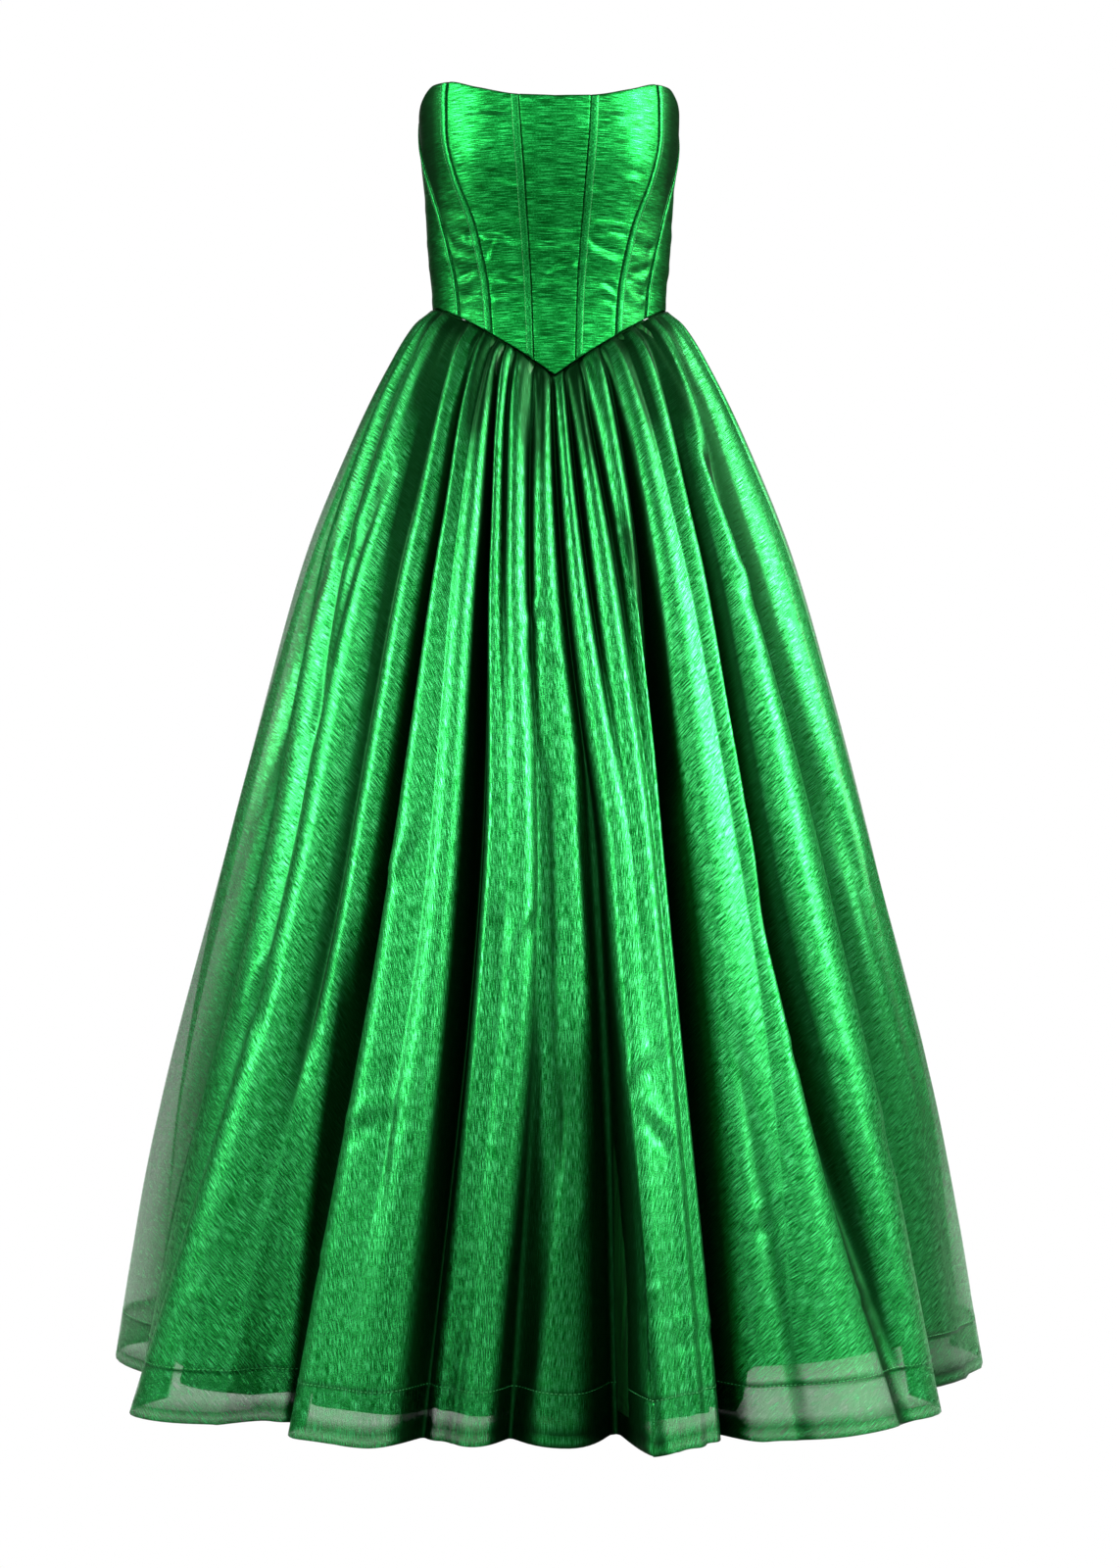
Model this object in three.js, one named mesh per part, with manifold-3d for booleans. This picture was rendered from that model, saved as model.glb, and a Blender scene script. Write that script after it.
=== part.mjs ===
// A strapless corset gown as it stands filled out with nobody in it: a boned bodice with a pointed
// waist, a gathered half-circle skirt of thin organza with a facing inside its hem, and a shorter,
// plain lining skirt inside that. Every piece is a closed wall of cloth. Millimetres, +Z up, the front
// faces -Y, +X is the wearer's left. The origin is on the body's axis at the height of the side waist,
// where the bodice grips the wearer.

import * as THREE from "three";
import ManifoldModule from "manifold-3d";

// Cloth walls
const SEAM_GAP = 0.3; // between two pieces that are sewn together
const WAIST_GAP = 0.8; // between bodice and skirt, whose columns differ
const BODICE_WALL = 3; // satin, interlining and lining, sewn as one layer
const CASING_WALL = 1; // the strip that holds a bone
const ORGANZA_WALL = 1.2;
const FACING_WALL = 1;
const LINING_WALL = 1.2;

// Heights and the pointed waist
const POINT_DROP = 80; // how far the front point hangs below the side waist
const POINT_REACH = 85; // degrees from centre front at which the waist is level again
const POINT_CURVE = 1.7; // 1 gives straight sides to the point, more makes them hollow
const HEM_HEIGHT = -1100; // waist to hem along the axis, as on a floor-length gown
const FACING_DEPTH = 50;

// The bodice, measured on the worn shape at heights above the side waist.
const BODICE_SECTIONS = [
  { height: -80, halfWidth: 124, front: 104, back: 88 },
  { height: 0, halfWidth: 122.5, front: 99, back: 86 },
  { height: 60, halfWidth: 127.5, front: 104, back: 92 },
  { height: 120, halfWidth: 131, front: 112, back: 98 },
  { height: 170, halfWidth: 136, front: 114, back: 101 },
  { height: 205, halfWidth: 137, front: 110, back: 101 },
  { height: 232, halfWidth: 134, front: 106, back: 100 },
];
const BUST = { fullness: 7, angle: 36, spread: 19, height: 142, rise: 42 };

// The top edge: level over the centre front, up to a peak over each bust, down to the back.
const NECKLINE = [
  { angle: 0, height: 203 },
  { angle: 16, height: 205 },
  { angle: 35, height: 215 },
  { angle: 53, height: 225.5 },
  { angle: 65, height: 226.5 },
  { angle: 78, height: 219 },
  { angle: 92, height: 203 },
  { angle: 120, height: 186 },
  { angle: 150, height: 174 },
  { angle: 180, height: 170 },
];

// Bodice seams: degrees from centre front at six shares of the way from the waist up to the top edge.
const SEAM_SHARES = [0, 0.2, 0.4, 0.6, 0.8, 1];
const SEAMS = {
  centreFront: [0, 0, 0, 0, 0, 0],
  centrePanel: [10, 10.8, 11.8, 13.2, 14.4, 15.7],
  princess: [31, 33.2, 38, 47.5, 52.6, 53.2],
  sideFront: [51.5, 54.8, 62.5, 75, 85, 96],
  sideBack: [119, 120, 122, 125, 128, 131],
  centreBack: [180, 180, 180, 180, 180, 180],
};
const PANEL_ROWS = 14;
const DEGREES_PER_COLUMN = 7.5;

// Boning casings lie over the seams of the front, on the side away from centre front.
const CASINGS = [
  { name: "centre_casing", seam: "centrePanel", width: 8.5 },
  { name: "princess_casing", seam: "princess", width: 9.5 },
  { name: "side_casing", seam: "sideFront", width: 6 },
];
const CASING_ROWS = 18;
const CASING_TRIM = 1.5; // a casing stops this short of the bodice's top and bottom edges

// The closed zip in the centre back seam. Its slider stands at the top, and the pull hangs from it by
// an eye round a bar.
const ZIP_WIDTH = 3;
const ZIP_WALL = 1.6;
const SLIDER = { width: 6.4, height: 9, depth: 1.8, centreHeight: 161, top: 101.5 };
const BAR = { radius: 0.8, span: 4.4, standOff: 2.9, earThickness: 1, earRadius: 1.5, height: 163 };
const PULL = { eyeRadius: 1.1, eyeOuter: 2.1, eyeWidth: 3.2, width: 5, length: 19, thickness: 1.2 };
const ROUND_STEPS = 20;

// The skirt's mean surface, at shares of the way from the waist seam down to the hem.
const SKIRT_SECTIONS = [
  { share: 0, halfWidth: 123, front: 101, back: 87 },
  { share: 0.015, halfWidth: 140, front: 115, back: 103 },
  { share: 0.06, halfWidth: 169, front: 140, back: 135 },
  { share: 0.125, halfWidth: 203, front: 172, back: 168 },
  { share: 0.23, halfWidth: 249, front: 223, back: 218 },
  { share: 0.36, halfWidth: 290, front: 268, back: 264 },
  { share: 0.55, halfWidth: 344, front: 328, back: 326 },
  { share: 0.78, halfWidth: 406, front: 390, back: 388 },
  { share: 1, halfWidth: 455, front: 432, back: 430 },
];
const SKIRT_LEVELS = [0, 0.015, 0.045, 0.09, 0.16, 0.26, 0.4, 0.56, 0.72, 0.86];

// Folds across the front, from the wearer's right side to the left. Each has a ridge and then the
// valley after it. Angles are degrees from centre front at the waist, a fifth of the way down, halfway
// and at the hem. Rises and dips are millimetres out from the mean surface just below the waist,
// halfway down and at the hem.
const FOLD_COLUMNS = [
  "ridgeWaist", "ridgeUpper", "ridgeMid", "ridgeHem", "valleyWaist", "valleyUpper", "valleyMid", "valleyHem",
  "riseUpper", "riseMid", "riseHem", "dipUpper", "dipMid", "dipHem",
];
const FRONT_FOLDS = [
  [-92, -87, -82, -103, -83, -74, -66, -80, 4, 6, 7, -5, -12, -34],
  [-74, -66, -58, -70, -68, -60, -53, -64, 5, 3, -16, -3, -2, -24],
  [-60, -51, -46.5, -55, -46, -41, -41, -45, 6, 16, 46, -12, -12, 14],
  [-41, -36, -37.2, -41.5, -36, -31.5, -32.8, -38, 4, 2, -30, -8, -34, -38],
  [-33, -28, -27.5, -32, -29, -25, -23, -27.5, 7, 14, 20, 4, 11, 24],
  [-26.5, -21.8, -20, -23.5, -24, -18.2, -15.8, -18.8, 8, 18, 30, -12, -36, -28],
  [-21.5, -16.2, -12.5, -16.5, -19, -13.8, -10, -14.7, 3, 13, -18, -6, 10, -10],
  [-14.5, -11, -7.4, -12, -9.5, -7.6, -4.6, -8, 6, 13, 2, -6, -2, -38],
  [-5, -3.6, 0, -0.8, -1.5, 0.5, 5.2, 5.8, 7, 4, 4, -6, -12, -52],
  [1.5, 3.3, 8.2, 7.8, 4.5, 6.3, 10.6, 10.8, 7, 15, 46, -9, 12, 32],
  [7.5, 9.8, 12.6, 13.4, 11.5, 13.3, 15, 15.4, 7, 15, 20, -8, 4, 4],
  [15.5, 16.6, 15.9, 16.4, 22, 20.6, 18, 18.6, 7, 5, 2, -12, -36, -26],
  [27, 25, 24.5, 22, 33, 29, 29.3, 25.5, 8, 15, 18, 4, 12, 25],
  [38, 32.5, 31.6, 32, 45, 36.4, 34.2, 43.5, 8, 17, 36, -8, -34, 24],
  [53, 43, 43, 46.5, 61, 50.6, 56.5, 58, 8, 18, 26, -9, -24, -46],
  [72, 66, 66, 88, 81, 81, 82, 97, 5, 11, -1, -6, -6, -14],
];
const WAIST_GATHER = 2.2; // ridge or valley height at the waist seam
const ANGLE_SHARES = [0, 0.2, 0.5, 1]; // where a fold line's angles are given
const HEIGHT_SHARES = [0, 0.1, 0.5, 1]; // where its heights are
const SIDE_ROOM = 5; // degrees between a side's last fold line and the next half's first
const BACK_SCALE = 0.12; // share by which the back's folds differ in height from the front's
const VALLEY_PINCH = 1.45; // 1 spreads a fold's flank evenly, more steepens it beside the valley

// The lining's size against the mean surface of the organza. The lean makes it wider on the wearer's
// left and narrower on the right, where the organza stands away from it.
const LINING_SECTIONS = [
  { share: 0, size: 0.978, lean: 0 },
  { share: 0.15, size: 0.935, lean: 0.025 },
  { share: 0.38, size: 0.907, lean: 0.05 },
  { share: 0.62, size: 0.912, lean: 0.042 },
  { share: 0.88, size: 0.948, lean: 0.022 },
  { share: 1, size: 0.95, lean: 0.02 },
];
const LINING_TOP_DROP = 1.5; // it starts this far below the bodice's edge
const LINING_FOLLOWS = 0.55; // how far it follows the folds outwards
const LINING_HEM = { height: -1048, drop: 24, lowest: -35 }; // it hangs lowest at this angle
const LINING_LEVELS = [0, 0.03, 0.1, 0.22, 0.4, 0.64, 0.9];

const COLOURS = { satin: 0x0f8a34, casing: 0x1a9a42, organza: 0x12803a, lining: 0x04380f, zip: 0x0a5a22 };

const radians = THREE.MathUtils.degToRad;
const degrees = THREE.MathUtils.radToDeg;
const mix = THREE.MathUtils.lerp;

// A smooth curve through the knots that never overshoots them (monotone cubic).
function curveThrough(xs, ys) {
  const last = xs.length - 1;
  const slopes = xs.slice(1).map((x, i) => (ys[i + 1] - ys[i]) / (x - xs[i]));
  const tangents = xs.map((_, i) => {
    if (i === 0) return slopes[0];
    if (i === last) return slopes[last - 1];
    const [before, after] = [slopes[i - 1], slopes[i]];
    return before * after <= 0 ? 0 : (2 * before * after) / (before + after);
  });
  return (x) => {
    if (x <= xs[0]) return ys[0];
    if (x >= xs[last]) return ys[last];
    const i = xs.findIndex((knot) => knot > x) - 1;
    const step = xs[i + 1] - xs[i];
    const t = (x - xs[i]) / step;
    const [t2, t3] = [t * t, t * t * t];
    return (
      (2 * t3 - 3 * t2 + 1) * ys[i] +
      (t3 - 2 * t2 + t) * step * tangents[i] +
      (3 * t2 - 2 * t3) * ys[i + 1] +
      (t3 - t2) * step * tangents[i + 1]
    );
  };
}

// One column of a table as a curve over another column.
const column = (table, over, name) => curveThrough(table.map((row) => row[over]), table.map((row) => row[name]));

// A point on an ellipse whose front and back halves have their own depths.
function ellipsePoint(angle, height, halfWidth, front, back, outward = 0) {
  const [sine, cosine] = [Math.sin(radians(angle)), Math.cos(radians(angle))];
  const depth = cosine > 0 ? front : back;
  return new THREE.Vector3((halfWidth + outward) * sine, -(depth + outward) * cosine, height);
}

// The waist seam's height at an angle from centre front, level behind POINT_REACH.
function waistHeight(angle) {
  const away = Math.abs(THREE.MathUtils.euclideanModulo(angle + 180, 360) - 180);
  return -POINT_DROP * Math.pow(Math.max(0, 1 - away / POINT_REACH), POINT_CURVE);
}

const necklineHeight = column(NECKLINE, "angle", "height");
const bodiceHalfWidth = column(BODICE_SECTIONS, "height", "halfWidth");
const bodiceFront = column(BODICE_SECTIONS, "height", "front");
const bodiceBack = column(BODICE_SECTIONS, "height", "back");
const bell = (x, centre, spread) => Math.exp(-(((x - centre) / spread) ** 2));

// The bodice's outer surface at an angle and a share of the way up from waist to top edge.
function bodicePoint(angle, share) {
  const height = mix(waistHeight(angle), necklineHeight(Math.abs(angle)), share);
  const bust =
    BUST.fullness * bell(Math.abs(angle), BUST.angle, BUST.spread) * bell(height, BUST.height, BUST.rise);
  return ellipsePoint(
    angle, height, bodiceHalfWidth(height), bodiceFront(height), bodiceBack(height), bust);
}

// The bodice's outward normal there, from the surface a little way round and a little way down.
function bodiceNormal(angle, share) {
  const across = bodicePoint(angle + 0.5, share).sub(bodicePoint(angle - 0.5, share));
  const down = bodicePoint(angle, share - 0.01).sub(bodicePoint(angle, share + 0.01));
  return down.cross(across).normalize();
}

// Normals of a grid of points, each from its neighbours across and down. The rows run down and the
// columns run towards the wearer's left, so that they point out.
function gridNormals(grid) {
  const at = (row, col) =>
    grid[THREE.MathUtils.clamp(row, 0, grid.length - 1)][
      THREE.MathUtils.clamp(col, 0, grid[0].length - 1)];
  return grid.map((line, row) =>
    line.map((_, col) => {
      const across = at(row, col + 1).clone().sub(at(row, col - 1));
      const down = at(row + 1, col).clone().sub(at(row - 1, col));
      return down.cross(across).normalize();
    }));
}

// The grid moved out along its normals, or in if distance is negative.
const movedOut = (grid, normals, distance) =>
  grid.map((line, row) => line.map((point, col) => point.clone().addScaledVector(normals[row][col], distance)));

// A closed wall between two grids of the same size.
function wall(outer, inner) {
  const [rows, cols] = [outer.length, outer[0].length];
  const positions = [...outer.flat(), ...inner.flat()].flatMap((p) => [p.x, p.y, p.z]);
  const index = [];
  const out = (row, col) => row * cols + col;
  const inn = (row, col) => rows * cols + row * cols + col;
  const quad = (a, b, c, d) => index.push(a, b, c, a, c, d);
  for (let row = 0; row < rows - 1; row++) {
    for (let col = 0; col < cols - 1; col++) {
      quad(out(row, col), out(row + 1, col), out(row + 1, col + 1), out(row, col + 1));
      quad(inn(row, col), inn(row, col + 1), inn(row + 1, col + 1), inn(row + 1, col));
    }
  }
  for (let col = 0; col < cols - 1; col++) {
    quad(out(0, col), out(0, col + 1), inn(0, col + 1), inn(0, col));
    quad(out(rows - 1, col), inn(rows - 1, col), inn(rows - 1, col + 1), out(rows - 1, col + 1));
  }
  for (let row = 0; row < rows - 1; row++) {
    quad(out(row, 0), inn(row, 0), inn(row + 1, 0), out(row + 1, 0));
    quad(out(row, cols - 1), out(row + 1, cols - 1), inn(row + 1, cols - 1), inn(row, cols - 1));
  }
  const geometry = new THREE.BufferGeometry();
  geometry.setAttribute("position", new THREE.Float32BufferAttribute(positions, 3));
  geometry.setIndex(index);
  geometry.computeVertexNormals();
  return geometry;
}

// Draws in a grid's first and last columns by half a seam gap, along the row.
function seamed(grid) {
  return grid.map((line) => {
    const points = line.map((p) => p.clone());
    const ends = [[0, 1], [points.length - 1, points.length - 2]];
    for (const [end, next] of ends) {
      const inward = line[next].clone().sub(line[end]).normalize();
      points[end].addScaledVector(inward, SEAM_GAP / 2);
    }
    return points;
  });
}

const material = (colour, roughness, metalness) =>
  new THREE.MeshStandardMaterial({ color: colour, roughness, metalness });
const satin = material(COLOURS.satin, 0.4, 0.6);
const casingCloth = material(COLOURS.casing, 0.45, 0.6);
const organza = material(COLOURS.organza, 0.35, 0.7);
const liningCloth = material(COLOURS.lining, 0.6, 0.1);
const zipPlastic = material(COLOURS.zip, 0.5, 0);
const zipMetal = material(COLOURS.zip, 0.35, 0.8);

const gown = new THREE.Group();

function addPiece(name, geometry, finish) {
  const mesh = new THREE.Mesh(geometry, finish);
  mesh.name = name;
  gown.add(mesh);
}

const seamAngle = (seam) => curveThrough(SEAM_SHARES, SEAMS[seam]);
const SIDES = [{ side: "right", sign: -1 }, { side: "left", sign: 1 }];

// A bodice panel between two curves of angle over share. It is trimmed by a width at an edge that
// meets the zip.
function bodicePanel(fromAngle, toAngle, trimFrom = 0, trimTo = 0) {
  const span = Math.max(toAngle(0) - fromAngle(0), toAngle(1) - fromAngle(1));
  const cols = Math.max(3, Math.ceil(span / DEGREES_PER_COLUMN));
  const grid = [];
  const normals = [];
  for (let row = 0; row <= PANEL_ROWS; row++) {
    const share = 1 - row / PANEL_ROWS;
    const height = mix(waistHeight(fromAngle(share)), necklineHeight(Math.abs(fromAngle(share))), share);
    const perMm = degrees(1 / bodiceBack(height));
    const [start, end] = [fromAngle(share) + trimFrom * perMm, toAngle(share) - trimTo * perMm];
    const angles = Array.from({ length: cols + 1 }, (_, col) => mix(start, end, col / cols));
    grid.push(angles.map((angle) => bodicePoint(angle, share)));
    normals.push(angles.map((angle) => bodiceNormal(angle, share)));
  }
  const outer = seamed(grid);
  return wall(outer, movedOut(outer, normals, -BODICE_WALL));
}

function addBodice() {
  const centre = seamAngle("centrePanel");
  addPiece("centre_front_panel", bodicePanel((share) => -centre(share), centre), satin);
  const panels = [
    { name: "inner_front_panel", from: "centrePanel", to: "princess", trim: 0 },
    { name: "outer_front_panel", from: "princess", to: "sideFront", trim: 0 },
    { name: "side_panel", from: "sideFront", to: "sideBack", trim: 0 },
    { name: "back_panel", from: "sideBack", to: "centreBack", trim: ZIP_WIDTH / 2 },
  ];
  for (const { name, from, to, trim } of panels) {
    const [near, far] = [seamAngle(from), seamAngle(to)];
    const right = bodicePanel((share) => -far(share), (share) => -near(share), trim, 0);
    addPiece(`${name}_right`, right, satin);
    addPiece(`${name}_left`, bodicePanel(near, far, 0, trim), satin);
  }
}

// A casing follows its seam and lies SEAM_GAP clear of the panel, on the side away from the front.
function casing(seam, width, sign) {
  const angle = seamAngle(seam);
  const grid = [];
  const normals = [];
  for (let row = 0; row <= CASING_ROWS; row++) {
    const length = necklineHeight(angle(1)) - waistHeight(angle(0));
    const trim = CASING_TRIM / length;
    const share = mix(1 - trim, trim, row / CASING_ROWS);
    const start = angle(share);
    const here = bodicePoint(start, share);
    const ahead = bodicePoint(start + 1, share);
    const perMm = 1 / here.distanceTo(ahead);
    const edges = [start + SEAM_GAP * perMm, start + (width / 2) * perMm, start + width * perMm];
    const angles = edges.map((edge) => sign * edge).sort((a, b) => a - b);
    grid.push(angles.map((edge) => bodicePoint(edge, share)));
    normals.push(angles.map((edge) => bodiceNormal(edge, share)));
  }
  const under = movedOut(grid, normals, SEAM_GAP + CASING_LIFT);
  return wall(movedOut(under, normals, CASING_WALL), under);
}

// The panels are flat between their columns, so a casing clears them by a little more than the gap.
const CASING_LIFT = 0.25;

function addCasings() {
  for (const { name, seam, width } of CASINGS) {
    for (const { side, sign } of SIDES) {
      addPiece(`${name}_${side}`, casing(seam, width, sign), casingCloth);
    }
  }
}

function addZip() {
  const halfAngle = (height) => degrees((ZIP_WIDTH / 2 - SEAM_GAP) / bodiceBack(height));
  const grid = [];
  for (let row = 0; row <= PANEL_ROWS; row++) {
    const share = 1 - row / PANEL_ROWS;
    const height = mix(waistHeight(180), necklineHeight(180), share);
    const half = halfAngle(height);
    grid.push([180 - half, 180 + half].map((angle) =>
      ellipsePoint(angle, height, bodiceHalfWidth(height), bodiceFront(height), bodiceBack(height))));
  }
  const outer = movedOut(grid, gridNormals(grid), -SEAM_GAP);
  addPiece("back_zip", wall(outer, movedOut(outer, gridNormals(grid), -ZIP_WALL)), zipPlastic);
}

const wasm = await ManifoldModule();
wasm.setup();
const { Manifold } = wasm;

const box = (x, y, z, at) => Manifold.cube([x, y, z], true).translate(at);
const rodAlongX = (length, radius, at) =>
  Manifold.cylinder(length, radius, radius, ROUND_STEPS, true).rotate([0, 90, 0]).translate(at);

function geometryOf(solid) {
  const mesh = solid.getMesh();
  const geometry = new THREE.BufferGeometry();
  geometry.setAttribute("position", new THREE.Float32BufferAttribute(mesh.vertProperties, 3));
  geometry.setIndex(Array.from(mesh.triVerts));
  geometry.computeVertexNormals();
  return geometry;
}

function addZipPull() {
  const face = SLIDER.top + SLIDER.depth;
  const barY = face + BAR.standOff;
  const ear = (side) => {
    const x = (side * (BAR.span + BAR.earThickness)) / 2;
    const root = box(BAR.earThickness, BAR.standOff + 0.4, 2 * BAR.earRadius,
      [x, barY - BAR.standOff / 2 - 0.2, BAR.height]);
    return root.add(rodAlongX(BAR.earThickness, BAR.earRadius, [x, barY, BAR.height]));
  };
  const slider = box(SLIDER.width, SLIDER.depth, SLIDER.height,
    [0, SLIDER.top + SLIDER.depth / 2, SLIDER.centreHeight])
    .add(ear(-1)).add(ear(1)).add(rodAlongX(BAR.span + BAR.earThickness, BAR.radius, [0, barY, BAR.height]));
  addPiece("zip_slider", geometryOf(slider), zipMetal);

  const neck = PULL.eyeOuter + 2;
  const blade = box(PULL.width, PULL.thickness, PULL.length - neck,
    [0, barY, BAR.height - neck - (PULL.length - neck) / 2]);
  const stem = box(PULL.eyeWidth, PULL.thickness, neck, [0, barY, BAR.height - neck / 2 - 0.5]);
  const pull = blade.add(stem).add(rodAlongX(PULL.eyeWidth, PULL.eyeOuter, [0, barY, BAR.height]))
    .subtract(rodAlongX(PULL.eyeWidth * 2, PULL.eyeRadius, [0, barY, BAR.height]));
  addPiece("zip_pull", geometryOf(pull), zipMetal);
}

// All folds round the skirt. The back has the front's folds again, drawn together into the room
// that the front leaves it.
function allFolds() {
  const front = FRONT_FOLDS.map((row) =>
    Object.fromEntries(FOLD_COLUMNS.map((name, i) => [name, row[i]])));
  const [first, last] = [front[0], front[front.length - 1]];
  const behind = (at) => {
    const [start, end] = [first[`ridge${at}`], last[`valley${at}`]];
    const squeeze = (360 - (end - start) - 2 * SIDE_ROOM) / (end - start);
    return (angle) => end + SIDE_ROOM + (angle - start) * squeeze;
  };
  const places = ["Waist", "Upper", "Mid", "Hem"].map((at) => [at, behind(at)]);
  const back = front.map((fold, i) => {
    const size = 1 + BACK_SCALE * Math.cos(1.7 * i);
    const copy = Object.fromEntries(Object.entries(fold).map(([name, value]) => [name, value * size]));
    for (const [at, place] of places) {
      copy[`ridge${at}`] = place(fold[`ridge${at}`]);
      copy[`valley${at}`] = place(fold[`valley${at}`]);
    }
    return copy;
  });
  return [...front, ...back];
}

// Fold lines in order round the skirt, ridge and valley by turns, each as two curves over the share
// of the way down: its angle, and its height over the mean surface.
function foldLines() {
  const line = (fold, kind, height, sign) => ({
    kind,
    angle: curveThrough(ANGLE_SHARES, ["Waist", "Upper", "Mid", "Hem"].map((at) => fold[`${kind}${at}`])),
    height: curveThrough(
      HEIGHT_SHARES, [sign * WAIST_GATHER, ...["Upper", "Mid", "Hem"].map((at) => fold[`${height}${at}`])]),
  });
  return allFolds().flatMap((fold) => [line(fold, "ridge", "rise", 1), line(fold, "valley", "dip", -1)]);
}

const LINES = foldLines();
const FIRST_VALLEY = FRONT_FOLDS.length * 2 - 1; // the side seam on the wearer's left
const CENTRE_BACK_LINE = FRONT_FOLDS.length * 2 + 17; // the valley that is nearest centre back
const STEEP = 20; // a flank that climbs more than this at the hem gets a finer division

// Stations round the skirt from one fold line to another: a line, the next line, and how far between.
function stations(fromLine, toLine, divide) {
  const list = [];
  for (let i = fromLine; i < toLine; i++) {
    const [here, next] = [i, i + 1].map((k) => ({
      line: LINES[THREE.MathUtils.euclideanModulo(k, LINES.length)],
      turn: 360 * Math.floor(k / LINES.length),
    }));
    const climb = Math.abs(next.line.height(1) - here.line.height(1));
    const parts = divide ? (climb > STEEP ? 3 : 2) : 1;
    for (let part = 0; part < parts; part++) list.push({ here, next, between: part / parts });
    if (i === toLine - 1) list.push({ here, next, between: 1 });
  }
  return list;
}

// Angle and height over the mean surface at a station and share. From a valley the flank leaves
// steeply and rounds over into the ridge.
function foldAt({ here, next, between }, share) {
  const fromValley = here.line.kind === "valley";
  const [valley, ridge] = fromValley ? [here, next] : [next, here];
  const t = fromValley ? between : 1 - between;
  const [low, high] = [valley.line.height(share), ridge.line.height(share)];
  const valleyAngle = valley.line.angle(share) + valley.turn;
  const ridgeAngle = ridge.line.angle(share) + ridge.turn;
  return {
    angle: mix(valleyAngle, ridgeAngle, Math.pow(t, VALLEY_PINCH)),
    height: mix(low, high, Math.sin((t * Math.PI) / 2)),
  };
}

const skirtHalfWidth = column(SKIRT_SECTIONS, "share", "halfWidth");
const skirtFront = column(SKIRT_SECTIONS, "share", "front");
const skirtBack = column(SKIRT_SECTIONS, "share", "back");
const liningSize = column(LINING_SECTIONS, "share", "size");
const liningLean = column(LINING_SECTIONS, "share", "lean");

function organzaPoint(station, share) {
  const { angle, height } = foldAt(station, share);
  const top = waistHeight(angle) - WAIST_GAP;
  return ellipsePoint(
    angle, mix(top, HEM_HEIGHT, share), skirtHalfWidth(share), skirtFront(share), skirtBack(share), height);
}

// A point of the lining at a share of the organza's length and a part of the lining's own length.
function liningPoint(station, part) {
  const near = LINING_HEM.height / HEM_HEIGHT;
  const { angle } = foldAt(station, part * near);
  const top = waistHeight(angle) - LINING_TOP_DROP;
  const hem = LINING_HEM.height - LINING_HEM.drop * Math.cos(radians(angle - LINING_HEM.lowest));
  const z = mix(top, hem, part);
  const share = (top - z) / (top - HEM_HEIGHT);
  const fold = foldAt(station, share);
  const size = liningSize(share) + liningLean(share) * Math.sin(radians(fold.angle));
  return ellipsePoint(
    fold.angle, z, skirtHalfWidth(share) * size, skirtFront(share) * size, skirtBack(share) * size,
    Math.min(0, fold.height) + Math.max(0, fold.height) * LINING_FOLLOWS);
}

const facingTop = 1 - FACING_DEPTH / -HEM_HEIGHT;
const PANELS = [
  { name: "front", from: -1, to: FIRST_VALLEY },
  { name: "back_left", from: FIRST_VALLEY, to: CENTRE_BACK_LINE },
  { name: "back_right", from: CENTRE_BACK_LINE, to: LINES.length - 1 },
];

// A panel's grid from one fold line to another, with normals that its neighbours share at the seams.
function skirtPanel(pointAt, levels, from, to, divide) {
  const wide = stations(from - 1, to + 1, divide);
  const wideGrid = levels.map((share) => wide.map((station) => pointAt(station, share)));
  const start = stations(from - 1, from, divide).length - 1;
  const end = wide.length - stations(to, to + 1, divide).length + 1;
  const cut = (grid) => grid.map((line) => line.slice(start, end));
  return { outer: seamed(cut(wideGrid)), normals: cut(gridNormals(wideGrid)) };
}

function addSkirt() {
  const levels = [...SKIRT_LEVELS, facingTop, 1];
  for (const { name, from, to } of PANELS) {
    const { outer, normals } = skirtPanel(organzaPoint, levels, from, to, true);
    addPiece(`skirt_${name}`, wall(outer, movedOut(outer, normals, -ORGANZA_WALL)), organza);
    const facingOuter = movedOut(outer.slice(-2), normals.slice(-2), -ORGANZA_WALL - SEAM_GAP);
    const facingInner = movedOut(facingOuter, normals.slice(-2), -FACING_WALL);
    addPiece(`hem_facing_${name}`, wall(facingOuter, facingInner), organza);
  }
}

function addLining() {
  const halves = [
    { name: "lining_front", from: -1, to: FIRST_VALLEY },
    { name: "lining_back", from: FIRST_VALLEY, to: LINES.length - 1 },
  ];
  for (const { name, from, to } of halves) {
    const { outer, normals } = skirtPanel(liningPoint, [...LINING_LEVELS, 1], from, to, false);
    addPiece(name, wall(outer, movedOut(outer, normals, -LINING_WALL)), liningCloth);
  }
}

addBodice();
addCasings();
addZip();
addZipPull();
addSkirt();
addLining();

export default gown;
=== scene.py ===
"""A strapless corset gown of metallic green organza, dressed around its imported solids.

Lengths in the tables are millimetres and become metres where a mesh is made. The front faces -Y, +X
is the wearer's left and Z is 0 at the side waist seam. Angles are degrees round the body from centre
front towards the wearer's left. A share of 0 is the upper edge of a skirt layer and the lower edge
of the bodice.
"""

from __future__ import annotations

import logging
import math
from dataclasses import dataclass, field, replace
from enum import Enum

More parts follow.
